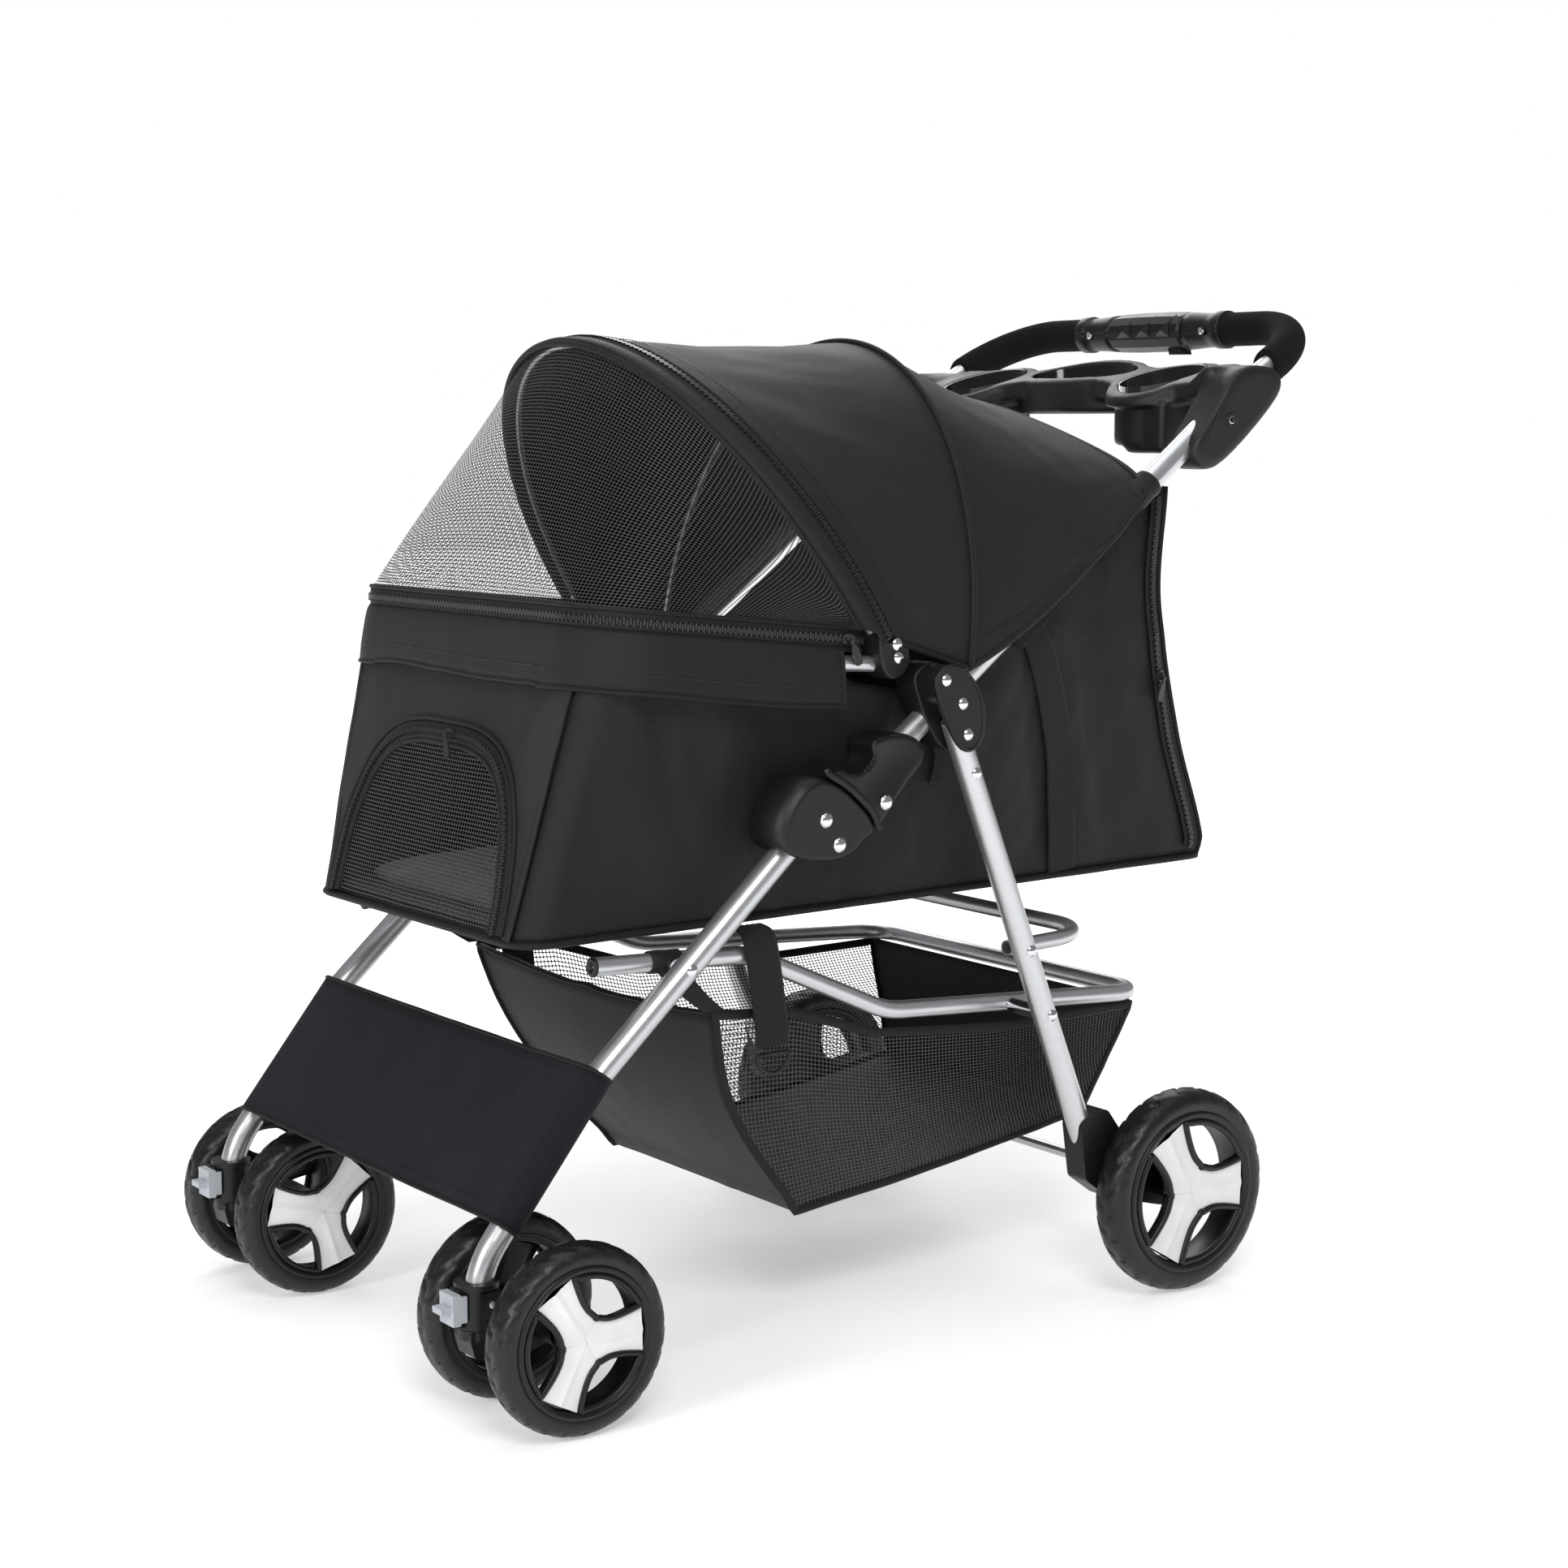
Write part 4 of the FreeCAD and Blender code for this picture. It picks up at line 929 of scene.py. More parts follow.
def remesh(made, voxel):
    change = made.modifiers.new("remesh", "REMESH")
    change.mode = "VOXEL"
    change.voxel_size = voxel
    return baked(made)


def smooth(made, factor, times):
    change = made.modifiers.new("smooth", "SMOOTH")
    change.factor = factor
    change.iterations = times
    return baked(made)


def swell(made, limit):
    """Cloth with inner pressure and no gravity; each point moves at most limit metres."""
    start = [vert.co.copy() for vert in made.data.vertices]
    cloth = made.modifiers.new("cloth", "CLOTH")
    cloth.settings.use_pressure = True
    cloth.settings.uniform_pressure_force = 4.0
    cloth.settings.effector_weights.gravity = 0.0
    scene = bpy.context.scene
    for number in range(1, 21):
        scene.frame_set(number)
    baked(made)
    scene.frame_set(1)
    for vert, rest in zip(made.data.vertices, start):
        move = vert.co - rest
        if move.length > limit:
            vert.co = rest + move.normalized() * limit


# ---------------------------------------------------------------- rim, flap and window
RIM_W, RIM_CORNER = 219.0, 62.0
RIM_FRONT_Y, RIM_REAR_Y, RIM_REAR_Z = 128.0, 384.0, 607.0


def rim_line(out=0.0, lift=0.0, rear=RIM_REAR_Y, count=121):
    """The U of the cabin rim, from the +X rear end round the front to the -X rear end."""
    wide, front, corner = RIM_W + out, RIM_FRONT_Y - out, RIM_CORNER + out
    plan = [(wide + 2, rear)]
    plan += [(wide - corner * (1 - cos(a)), front + corner * (1 - sin(a)))
             for a in evenly(10, 0, pi / 2)]
    plan += [(-x, y) for x, y in reversed(plan)]
    line = [at(x, y, RIM_REAR_Z + (RIM_REAR_Y - y) * 0.105 + lift) for x, y in plan]
    return resample(line, count)


def outward_of(line):
    """Level directions away from the cabin's middle line, one for each point."""
    found = []
    for index in range(len(line)):
        along = line[min(index + 1, len(line) - 1)] - line[max(index - 1, 0)]
        found.append(Vector((along.y, -along.x, 0)).normalized() * -1)
    if found[len(found) // 2].y > 0:
        found = [-v for v in found]
    return found


def rim():
    line = rim_line(1.0, 4.0)
    zipper("rim_zipper", line, outward_of(line), UPPER, 18, 0.02, (0, 0.4, -1))
    for label, lift in (("upper", 13.5), ("lower", -5.0)):
        binding("rim_piping_" + label, rim_line(1.5, lift), UPPER, 2.0)
    count = 161
    rows = []
    for drop in (0.0, 0.04, 0.12, 0.25, 0.4, 0.55, 0.7, 0.85, 1.0):
        line = rim_line(3.0 + 6.5 * drop ** 0.7, -4, 362, count)
        row = []
        for index, point in enumerate(line):
            share = index / (count - 1)
            wave = 2.2 * ripple(share * 16, drop * 1.5, 31) * drop
            length = 50 + 3 * ripple(share * 6, 0, 33) - 2 * (abs(share - 0.5) < 0.16)
            away = (point - at(0, 300, 0)).normalized()
            front = 8 * max(0.0, 1 - abs(share - 0.5) / 0.32) ** 0.5 * drop ** 0.5
            push = Vector((away.x, away.y, 0)) * wave / 1000
            row.append(point + push - mm(0, front, length * drop))
        rows.append(row)
    sheet = sewn("rim_flap", rows, UPPER, thickness=1.3)
    edge = [row[0] for row in rows] + rows[-1][1:] + [row[-1] for row in rows[-2::-1]]
    hem = binding("rim_flap_binding", resample(edge, 260), UPPER, 2.0)
    stitches("rim_flap_stitch", rows[-3], outward_of(rows[-3]), UPPER)


# ---------------------------------------------------------------- canopy
FRONT_ARCH = ((385.0, 618.0), (233.0, 866.0), 240.0)
MID_ARCH = ((486.0, 584.0), (525.0, 868.0), 243.0)
BACK_TOP_Y, BACK_TOP_Z, BACK_HALF = 711.0, 812.0, 244.0


def arch_point(arch, s, grow=0.0):
    (y0, z0), (y1, z1), half = arch
    rise = Vector((0, y1 - y0, z1 - z0))
    high = rise.length + grow
    up = rise.normalized() * sin(pi * s) * high
    return Vector(((half + grow) * cos(pi * s), y0 + up.y, z0 + up.z))


def hood_point(s, share, grow=0.0):
    """Between the front bow (share 0) and the middle bow (share 1)."""
    low, high = arch_point(FRONT_ARCH, s, grow), arch_point(MID_ARCH, s, grow)
    return low.lerp(high, share)


def hood_reach(s, distance):
    """The share at a distance in millimetres behind the front bow."""
    return distance / (arch_point(MID_ARCH, s) - arch_point(FRONT_ARCH, s)).length


def hood_line(distance, grow=0.0, s0=0.0, s1=1.0):
    """A line over the hood at a distance behind the front bow."""
    return [at(*hood_point(s, hood_reach(s, distance), grow)) for s in evenly(120, s0, s1)]


def hood_outward(s0=0.0, s1=1.0):
    points = [arch_point(FRONT_ARCH, s) for s in evenly(120, s0, s1)]
    return [Vector((point.x, 0, point.z - 600)).normalized() for point in points]


def bow_wire(name, arch, body, node):
    wire = Maker()
    wire.pipe([at(*arch_point(arch, s, -5)) for s in evenly(60)], 3.2, 10)
    wire.done(name, METAL, body, "frame_metal", [node])


CANOPY = "canopy_bow"


def canopy_front():
    rows = []
    for back in evenly(24):
        slack = hump(back)
        row = []
        for s in evenly(120):
            first = hood_reach(s, 22)
            share = first + (1 - first) * back
            folds = 3.4 * ripple(s * 9 + share * 1.4, share * 1.1, 41)
            folds += 1.2 * ripple(s * 24, share * 3, 43)
            row.append(at(*hood_point(s, share, -3.5 * slack + slack * folds * 1.1)))
        rows.append(row)
    sewn("canopy_hood", rows, None, None, ["canopy_front"], 1.2)
    for name, k in (("right", 0), ("left", -1)):
        binding("canopy_hem_foot_" + name, [row[k] for row in rows], None, 3.6, 0.6, (0, 0, 1))
    stitches("canopy_stitch_front", hood_line(44, 0.4, 0.02, 0.98), hood_outward(0.02, 0.98), None)
    band = ((-13, -4.0), (-10, 0.5), (-4, 2.2), (4, 2.4), (7, 1.4))
    sewn("canopy_visor", [hood_line(back, grow) for back, grow in band], CANOPY, thickness=1.2)
    zipper("canopy_zipper", hood_line(14, 1.2), hood_outward(), CANOPY, 17, 0.985, (0, 0, -1))
    binding("canopy_piping_front", hood_line(-14, -4.0), CANOPY, 2.8)
    binding("canopy_piping_rear", hood_line(24, 1.8), CANOPY, 2.4)
    foot, head = rim_line(0.5, 13.0), hood_line(-6, -1.0)
    rows = []
    for share in evenly(20):
        bulge = 5.0 * hump(share)
        row = []
        for a, b in zip(foot, head):
            point = a.lerp(b, share)
            away = Vector((point.x * 0.4, -0.12, 0.0))
            row.append(point + away.normalized() * bulge / 1000)
        rows.append(row)
    sewn("canopy_window", rows, None, MESH)
    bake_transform(bpy.data.objects["canopy_window"])
    for name in ("canopy_hood", "canopy_hem_foot_left", "canopy_hem_foot_right", "canopy_stitch_front"):
        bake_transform(bpy.data.objects[name])
    bow_wire("front_bow_wire", FRONT_ARCH, CANOPY, "front_bow")


def rear_hem(s, grow=0.0):
    """The rear edge: a shallow tent that turns down round each handle tube."""
    across = cos(pi * s)
    wide = abs(across)
    drop = 66 * wide ** 1.15 + 14 * wide ** 12
    return Vector(((BACK_HALF + grow) * across, BACK_TOP_Y - 18 * wide * wide,
                   BACK_TOP_Z - drop + grow * (1 - wide)))


def rear_point(s, share, grow=0.0):
    """From the middle bow (share 0) back to the rear hem (share 1), with slack over the tubes."""
    point = arch_point(MID_ARCH, s, grow).lerp(rear_hem(s, grow), share)
    wide = abs(cos(pi * s))
    slack = hump(share)
    point.z -= 17 * slack ** 0.8 * wide ** 10 + 7 * slack * (1 - wide ** 4)
    return point


def canopy_rear():
    rows = []
    for share in evenly(30):
        slack = max(0.0, hump(share)) ** 0.7
        row = []
        for s in evenly(120):
            ray = atan2(1.02 - share, min(s, 1 - s) + 0.05)
            folds = 3.2 * ripple(ray * 5.5, share * 0.8, 51 + (s > 0.5))
            folds += 1.1 * ripple(s * 22, share * 4, 53)
            row.append(at(*rear_point(s, share, folds * slack)))
        rows.append(row)
    sewn("canopy_back", rows, UPPER, None, ["canopy_rear"], 1.2)
    middle = [at(*arch_point(MID_ARCH, s, 1.8)) for s in evenly(120)]
    binding("canopy_piping_middle", middle, UPPER, 3.0)
    binding("canopy_hem_back", rows[-1], UPPER, 3.2, 0.5, (0, 0, 1))
    for name, k in (("right", 0), ("left", -1)):
        binding("canopy_hem_side_" + name, [row[k] for row in rows], UPPER, 3.4, 0.6, (1, 0, 0))
        line = [row[3 if k == 0 else -4] for row in rows]
        stitches("canopy_stitch_side_" + name, line, [Vector((SIDES[name], 0, 0.3))], UPPER)
    bow_wire("mid_bow_wire", MID_ARCH, UPPER, "mid_bow")
    climb = Vector((0, cos(radians(37.45)), sin(radians(37.45))))      # the handle tube's slope
    for name, side in SIDES.items():
        sleeve = Maker()
        sleeve.lathe([(-16, 11.6), (-15, 13.0), (-6, 13.6), (2, 13.1), (11, 13.7), (13, 13.2), (13, 11.6)],
                     at(side * LEG_X, 699, 733), climb, 40)
        sleeve.done("canopy_sleeve_" + name, FABRIC, UPPER, "cabin_fabric")


# ---------------------------------------------------------------- basket
BASKET_TOP_W, BASKET_LOW_W = 203.0, 150.0
BASKET_TOP = [(246, 300), (330, 292), (420, 262), (560, 250), (722, 251)]
BASKET_LOW = [(370, 98), (500, 112), (708, 142)]
BASKET_FRAME = "basket_frame"


def basket_side(along, down, side):
    """A point on the basket's side; along runs front to rear, down from the tube to the floor."""
    top_y = 248 + (724 - 248) * along
    low_y = 368 + (708 - 368) * along
    top = Vector((BASKET_TOP_W - 4, top_y, linear(BASKET_TOP, top_y)))
    low = Vector((BASKET_LOW_W, low_y, linear(BASKET_LOW, low_y)))
    point = top.lerp(low, down)
    belly = 7 * hump(down) * hump(along) + 1.5 * ripple(along * 6, down * 3, 61 + side)
    bow = 20 * hump(min(1.0, down * 1.06)) * (1 - along) ** 2
    return at(side * (point.x + belly), point.y - bow, point.z)


def basket():
    steps = evenly(30)
    for name, side in SIDES.items():
        rows = [[basket_side(a, d, side) for a in steps] for d in evenly(16)]
        sewn("basket_mesh_" + name, rows, BASKET_FRAME, MESH)
        edge = rows[0] + [basket_side(1, d, side) for d in evenly(12)[1:]] + rows[-1][-2::-1]
        edge += [basket_side(0, d, side) for d in evenly(12)[-2:0:-1]]
        binding("basket_binding_" + name, resample(edge, 200, closed=True), BASKET_FRAME, 4.2, 0.4,
                (1, 0, 0), closed=True)
    front, back, floor = [], [], []
    for d in evenly(16):
        ends = [(basket_side(a, d, 1), basket_side(a, d, -1)) for a in (0, 1)]
        near, far = [], []
        for t in steps:
            sag = hump(t)
            drop = mm(0, -5 * sag * hump(d), -9 * sag * (1 - d) ** 2 + 1.5 * ripple(t * 7, d * 4, 63))
            near.append(ends[0][0].lerp(ends[0][1], t) + drop)
            far.append(ends[1][0].lerp(ends[1][1], t) + mm(0, 5 * sag * hump(d), 4 * (1 - d) ** 3))
        front.append(near)
        back.append(far)
    for a in steps:
        left, right = basket_side(a, 1, -1), basket_side(a, 1, 1)
        floor.append([left.lerp(right, t) - mm(0, 0, 5 * hump(a) * hump(t)) for t in evenly(20)])
    sewn("basket_front", front, BASKET_FRAME, thickness=1.3)
    sewn("basket_back", back, BASKET_FRAME, thickness=1.3)
    sewn("basket_floor", floor, BASKET_FRAME, None, ["basket_fabric"], 1.3)
    binding("basket_front_hem", front[0], BASKET_FRAME, 4.0, 0.45, (0, 0, 1))


def basket_tube_ends():
    """Plugs with a hex insert at the open ends, and cloth loops that hold the basket to the tube."""
    tube_x = 200
    run = Vector((0, 154, -6)).normalized()      # the tube's slope at its open end
    for name, side in SIDES.items():
        plug, loop = Maker(), Maker()
        spot = at(side * tube_x, 128, 354)
        plug.lathe([(1.5, 0.01), (1.5, 3.4), (-1.8, 3.6), (-2.2, 6.6), (-1.2, 8.3), (0.6, 8.3),
                    (0.6, 6.4), (8, 6.4), (8, 0.01)], spot, run, 32, closed=False)
        plug.lathe([(1.4, 0.01), (1.4, 3.3), (0.2, 3.3), (0.2, 0.01)], spot, run, 6, look=1, closed=False)
        plug.done("basket_plug_" + name, [PLASTIC, CHROME], BASKET_FRAME, "black_plastic")
        middle = at(side * tube_x, 196, 351.4)
        loop.lathe([(-15, 8.2), (-14.4, 9.6), (-5, 9.9), (4, 9.5), (14.4, 9.7), (15, 8.2)],
                   middle, run, 32)
        rows = []
        for d in (0.0, 0.25, 0.5, 0.75, 1.0):
            rows.append([middle + Vector((side * (0.0094 - 0.0084 * d), t * (1 - 0.3 * d) + 0.052 * d,
                                          -0.004 - 0.045 * d - 0.003 * hump(d)))
                         for t in (-0.0145, -0.007, 0.0, 0.007, 0.0145)])
        loop.grid(rows)
        loop.done("basket_loop_" + name, FABRIC, BASKET_FRAME, "cabin_fabric")


# ---------------------------------------------------------------- leg panel
FRONT_LEGS = "front_legs"


def leg_panel():
    """Sheet stretched across the front legs and wrapped round both tubes."""
    low, high = (25.0, 160.0), (114.0, 272.0)
    slope = Vector((0, high[0] - low[0], high[1] - low[1])).normalized()
    out = Vector((0, -slope.z, slope.y))
    grip = TUBE_R + 2.0
    wrap = [(LEG_X + grip * cos(radians(d)), grip * sin(radians(d))) for d in range(-150, 91, 15)]
    across = wrap + [(LEG_X * (1 - k / 20), grip - 5 * hump(k / 40)) for k in range(1, 40)]
    across += [(-x, y) for x, y in reversed(wrap)]
    rows = []
    for i in range(15):
        spine = Vector((0, *low)).lerp(Vector((0, *high)), i / 14)
        row = []
        for x, lift in across:
            crease = 1.4 * ripple(x / 70, i / 5, 71) if abs(x) < 200 else 0
            point = spine + out * (lift + crease)
            row.append(at(x, point.y, point.z))
        rows.append(row)
    sheet = sewn("leg_panel_sheet", rows, FRONT_LEGS, PANEL, ["leg_panel"], 1.2)
    hems = [binding("leg_panel_hem_" + label, row, FRONT_LEGS, 2.2, 0.7, (0, 0, 1))
            for label, row in (("lower", rows[0]), ("upper", rows[-1]))]
    for label, row in (("lower", rows[1]), ("upper", rows[-2])):
        stitches("leg_panel_stitch_" + label, row[18:-18], [out], FRONT_LEGS)


# ---------------------------------------------------------------- hanging straps
def hanging_straps():
    for name, side in SIDES.items():
        places = ((192, 284, 371), (204, 286, 369), (210, 288, 362), (212, 292, 330),
                  (212, 298, 290), (212, 300, 268))
        line = rounded([at(side * x, y, z) for x, y, z in places], 2, closed=False)
        strap = ribbon("hanging_strap_" + name, line, (0, 1, 0), 34)
        ring = Maker()
        bow = [at(side * 212, 300 + 17 * cos(a), 262 - 17 * sin(a)) for a in evenly(24, 0, pi)]
        ring.pipe(rounded(bow, 2), 2.0, 12, closed=True)
        ring.done("hanging_ring_" + name, PLASTIC, "ring_" + name, "black_plastic", ["d_ring_" + name])
        if side > 0:
            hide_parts("hanging_straps")


# ---------------------------------------------------------------- moulded parts
def inward(outline):
    """Unit 2-D normals that point into a closed outline of (y, z) pairs."""
    area = sum(a[0] * b[1] - b[0] * a[1] for a, b in zip(outline, outline[1:] + outline[:1]))
    turn = 1 if area > 0 else -1
    found = []
    for index in range(len(outline)):
        before, after = outline[index - 1], outline[(index + 1) % len(outline)]
        dy, dz = after[0] - before[0], after[1] - before[1]
        size = hypot(dy, dz) or 1.0
        found.append((-dz / size * turn, dy / size * turn))
    return found


def soft_outline(points, times=2):
    return [(p.x, p.y) for p in rounded([Vector((y, z)) for y, z in points], times)]


def pebble(maker, points, x0, x1, side, low, high, times=2, slope=None):
    """A side-view outline as a slab with rounded edges; slope is a facet's (direction, inset, drop)."""
    outline = soft_outline(points, times)
    normals = inward(outline)
    rings = [(x0 + low * (1 - cos(pi / 6 * k)), low * (1 - sin(pi / 6 * k)), 0) for k in range(4)]
    rings += [(x1 - high * (1 - cos(pi / 6 * k)), high * (1 - sin(pi / 6 * k)), 1)
              for k in (3, 2, 1, 0)]
    rows = []
    for x, inset, outer in rings:
        row = []
        for (y, z), (ny, nz) in zip(outline, normals):
            depth, wide = 0.0, inset
            if slope and outer:
                face = max(0.0, min(1.0, (-(ny * slope[0][0] + nz * slope[0][1]) - 0.1) / 0.5))
                share = min(1.0, max(0.0, 1 - (x1 - x) / high))
                depth = face * slope[2] * (1 - share) ** 1.2
                wide = inset + face * slope[1] * share ** 0.9
            row.append(at(side * (x - depth), y + ny * wide, z + nz * wide))
        rows.append(row)
    maker.loft(rows)


def dome(maker, spot, axis, radius=6.4, height=3.2, look=0):
    """A domed rivet head with a thin flange."""
    profile = [(0.0, 0.01), (0.0, radius), (0.5, radius)]
    profile += [(0.5 + (height - 0.5) * sin(pi / 2 * k / 6), radius * 0.94 * cos(pi / 2 * k / 6) + 0.01)
                for k in range(7)]
    maker.lathe(profile, spot, axis, 28, look, closed=False)


LOCK_PIVOT = (342.0, 442.0)
LOCK_ARC = [(12, 40), (35, 40), (60, 40), (80, 46), (100, 57)]
SHELL_BACK = [(297, 435), (279, 446), (280, 464), (289, 483), (303, 498), (317, 503)]
SLEEVE_BACK = [(347, 507), (356, 501), (372, 506), (383, 515), (378, 526), (394, 531),
               (424, 531), (441, 511), (412, 484), (390, 457)]
LOCK_IN_X, LOCK_OUT_X = 208, 249      # inner and outer face of a release sleeve or a tray clamp


def around(degrees, radius):
    """A (y, z) point round the fold pivot."""
    angle = radians(degrees)
    return LOCK_PIVOT[0] + radius * cos(angle), LOCK_PIVOT[1] + radius * sin(angle)


def carve(made, centre, long_axis, long, short, depth, push):
    """Presses an oval dish into the vertices that face along -push."""
    long_axis = long_axis.normalized()
    push = push.normalized()
    for vert in made.data.vertices:
        offset = vert.co - centre
        if vert.normal.dot(push) > -0.3:
            continue
        along = offset.dot(long_axis)
        across = (offset - long_axis * along - push * offset.dot(push)).length
        reach = (along / long) ** 2 + (across / short) ** 2
        if reach < 1:
            vert.co += push * depth * (1 - reach) ** 1.3


def fold_locks():
    for name, side in SIDES.items():
        shell = Maker()
        arc = [around(angle, radius - 0.8) for angle, radius in reversed(LOCK_ARC)]
        outline = SHELL_BACK + arc + [(368, 444), (357, 434), (341, 429), (320, 430)]
        pebble(shell, outline, LOCK_IN_X - 2, LOCK_OUT_X + 1, side, 2.0, 3.4, 1,
               ((-0.8, 0.6), 7.0, 7.0))
        for y, z in (LOCK_PIVOT, (328.0, 464.0)):
            dome(shell, at(side * 249.6, y, z), (side, 0, 0), look=1)
        shell.done("lock_shell_" + name + "_body", [PLASTIC, CHROME], FRONT_LEGS, "black_plastic",
                   ["lock_shells"] if side > 0 else ())
        sleeve = Maker()
        outline = [around(angle, radius + 0.8) for angle, radius in LOCK_ARC] + SLEEVE_BACK
        pebble(sleeve, outline, LOCK_IN_X, LOCK_OUT_X, side, 3.0, 4.5, 1)
        body = sleeve.done("release_sleeve_" + name + "_grip", PLASTIC)
        remesh(body, 0.0017)
        carve(body, at(side * LOCK_OUT_X, 404, 512), Vector((0, 0.72, 0.69)), 0.050, 0.034, 0.0055,
              Vector((-side, 0, 0)))
        carve(body, at(side * LEG_X, 366, 512), Vector((1, 0, 0)), 0.030, 0.020, 0.006,
              Vector((0, 0.6, -0.8)))
        smooth(body, 0.5, 5)
        recolour(body, PLASTIC)
        place(body, "release_" + name, ["release_sleeve_" + name])
        trim = Maker()
        lip = [at(side * 248.2, *around(angle, radius + 4.6)) for angle, radius in LOCK_ARC]
        lip = rounded(lip + [at(side * 246, 331, 506)], 2, closed=False)
        trim.pipe(lip, 3.6, 10, squeeze=0.75, up=(side, 0, 0))
        dome(trim, at(side * 248.6, 392, 474), (side, 0, 0), look=1)
        trim.done("release_sleeve_" + name + "_lip", [PLASTIC, CHROME], "release_" + name, "black_plastic")


BRACKET = [(427, 583), (454, 594), (483, 566), (486, 527), (470, 511), (453, 519), (432, 560)]
HINGE = [(390, 622), (416, 624), (425, 606), (425, 581), (396, 575)]


def brackets():
    for name, side in SIDES.items():
        made = Maker()
        pebble(made, BRACKET, 212, 240.2, side, 1.5, 1.5)
        pebble(made, BRACKET, 264, 268.5, side, 1.2, 1.5)
        web = [(432, 584), (454, 592), (480, 566), (483, 552), (437, 552)]
        pebble(made, web, 239, 265, side, 1.0, 1.0)
        edge = soft_outline(BRACKET)
        border = [at(side * 268.3, y + 2.2 * ny, z + 2.2 * nz)
                  for (y, z), (ny, nz) in zip(edge, inward(edge))]
        made.pipe(border, 1.5, 8, closed=True)
        made.done("side_bracket_" + name + "_plate", PLASTIC, UPPER, "black_plastic",
                  ["side_brackets"] if side > 0 else ())
        knuckle = Maker()
        pebble(knuckle, HINGE, 212, 239.5, side, 1.5, 3.0)
        edge = soft_outline([(395, 616), (411, 617), (418, 604), (417, 587), (400, 583)])
        knuckle.pipe([at(side * 238.6, *point) for point in edge], 1.0, 6, closed=True)
        knuckle.done("rail_hinge_" + name + "_body", PLASTIC, UPPER, "black_plastic",
                     ["rail_hinges"] if side > 0 else ())


# ---------------------------------------------------------------- handle
GRIP_Y, GRIP_Z = 930.0, 886.0


def grip():
    centre = at(0, GRIP_Y, GRIP_Z)
    profile = [(52, 18.6), (60, 18.2), (70, 17.4), (82, 16.9), (91, 16.8), (92, 18.2),
               (93, 18.6), (103, 18.6), (104, 18.0), (104, 11.3)]
    for label, sign in (("top", 1), ("bottom", -1)):
        made = Maker()
        for side in (1, -1):
            rows = []
            for along, radius in profile:
                rows.append([centre + mm(side * along, radius * cos(a), sign * radius * sin(a))
                             for a in evenly(24, 0, pi)])
            made.grid(rows)
        facets = [0, 22, 50, 90, 130, 158, 180]
        rows = []
        for along, grow in ((-53, 0.94), (-49, 1.06), (-20, 1.10), (20, 1.10), (49, 1.06),
                            (53, 0.94)):
            rows.append([centre + mm(along, 19.4 * grow * cos(radians(a)),
                                     sign * 18.0 * grow * sin(radians(a))) for a in facets])
        made.grid(rows, flat=True)
        if sign > 0:
            for x in (-28, 0, 28):
                base = centre + mm(x, -19.4, 4.0)
                corners = [Vector((-16, 2.5, -12)), Vector((14, 2.5, -12)), Vector((12, 9.0, 13))]
                peak = base + mm(7, -8.5, -3.0)
                start = len(made.points)
                made.points.extend([base + c / 1000 for c in corners] + [peak])
                for a, b, c in ((0, 1, 3), (1, 2, 3), (2, 0, 3)):
                    made.face([start + a, start + b, start + c], [(0, 0), (0.01, 0), (0, 0.01)], 0, True)
        else:
            tab = ((26, -8), (44, -8), (46, 4), (40, 9), (28, 6))
            made.prism([centre + mm(x, y, -17) for x, y in tab], mm(2, 0, -6))
        made.done("grip_shell_" + label, PLASTIC, UPPER, "black_plastic", ["grip_cover_" + label],
                  thickness=1.6, offset=-1)
    screws = Maker()
    for x in (-82, 82):
        spot = centre + mm(x, -16.6, -2)
        screws.lathe([(-0.5, 5.0), (1.0, 5.0), (1.0, 3.9), (0.2, 3.9)], spot, (0, -1, 0), 20)
        dome(screws, spot, (0, -1, 0), 3.8, 1.2, look=1)
    screws.done("grip_screws", [PLASTIC, CHROME], UPPER, "fasteners")


CUP_X, CUP_Y, CUP_R, CUP_FLOOR_Z, TRAY_TOP_Z = 132.0, 816.0, 41.0, 776.0, 846.0
CLAMP = [(742, 772), (757, 749), (786, 756), (857, 817), (861, 838), (846, 848), (800, 847),
         (768, 800)]


def disc(x, y, z, radius, squash=1.0, count=48):
    """A circle's points, flattened along Y by squash."""
    angles = [2 * pi * k / count for k in range(count)]
    return [at(x + radius * cos(a), y + squash * radius * sin(a), z) for a in angles]


def carved(made, cutter):
    """Subtracts the cutter object, which is then removed."""
    change = made.modifiers.new("cut", "BOOLEAN")
    change.operation = "DIFFERENCE"
    change.object = cutter
    change.solver = "EXACT"
    baked(made)
    bpy.data.objects.remove(cutter)


def lean(made):
    """Tips the upper part of the tray towards the front; the wells stay upright."""
    for vert in made.data.vertices:
        x, y, z = abs(vert.co.x) * 1000, (vert.co.y - SHIFT_Y) * 1000, vert.co.z * 1000
        share = min(1.0, max(0.0, (z - 806) / 30)) * min(1.0, max(0.0, (214 - x) / 20))
        vert.co.z += 0.27 * (y - 836) * share / 1000


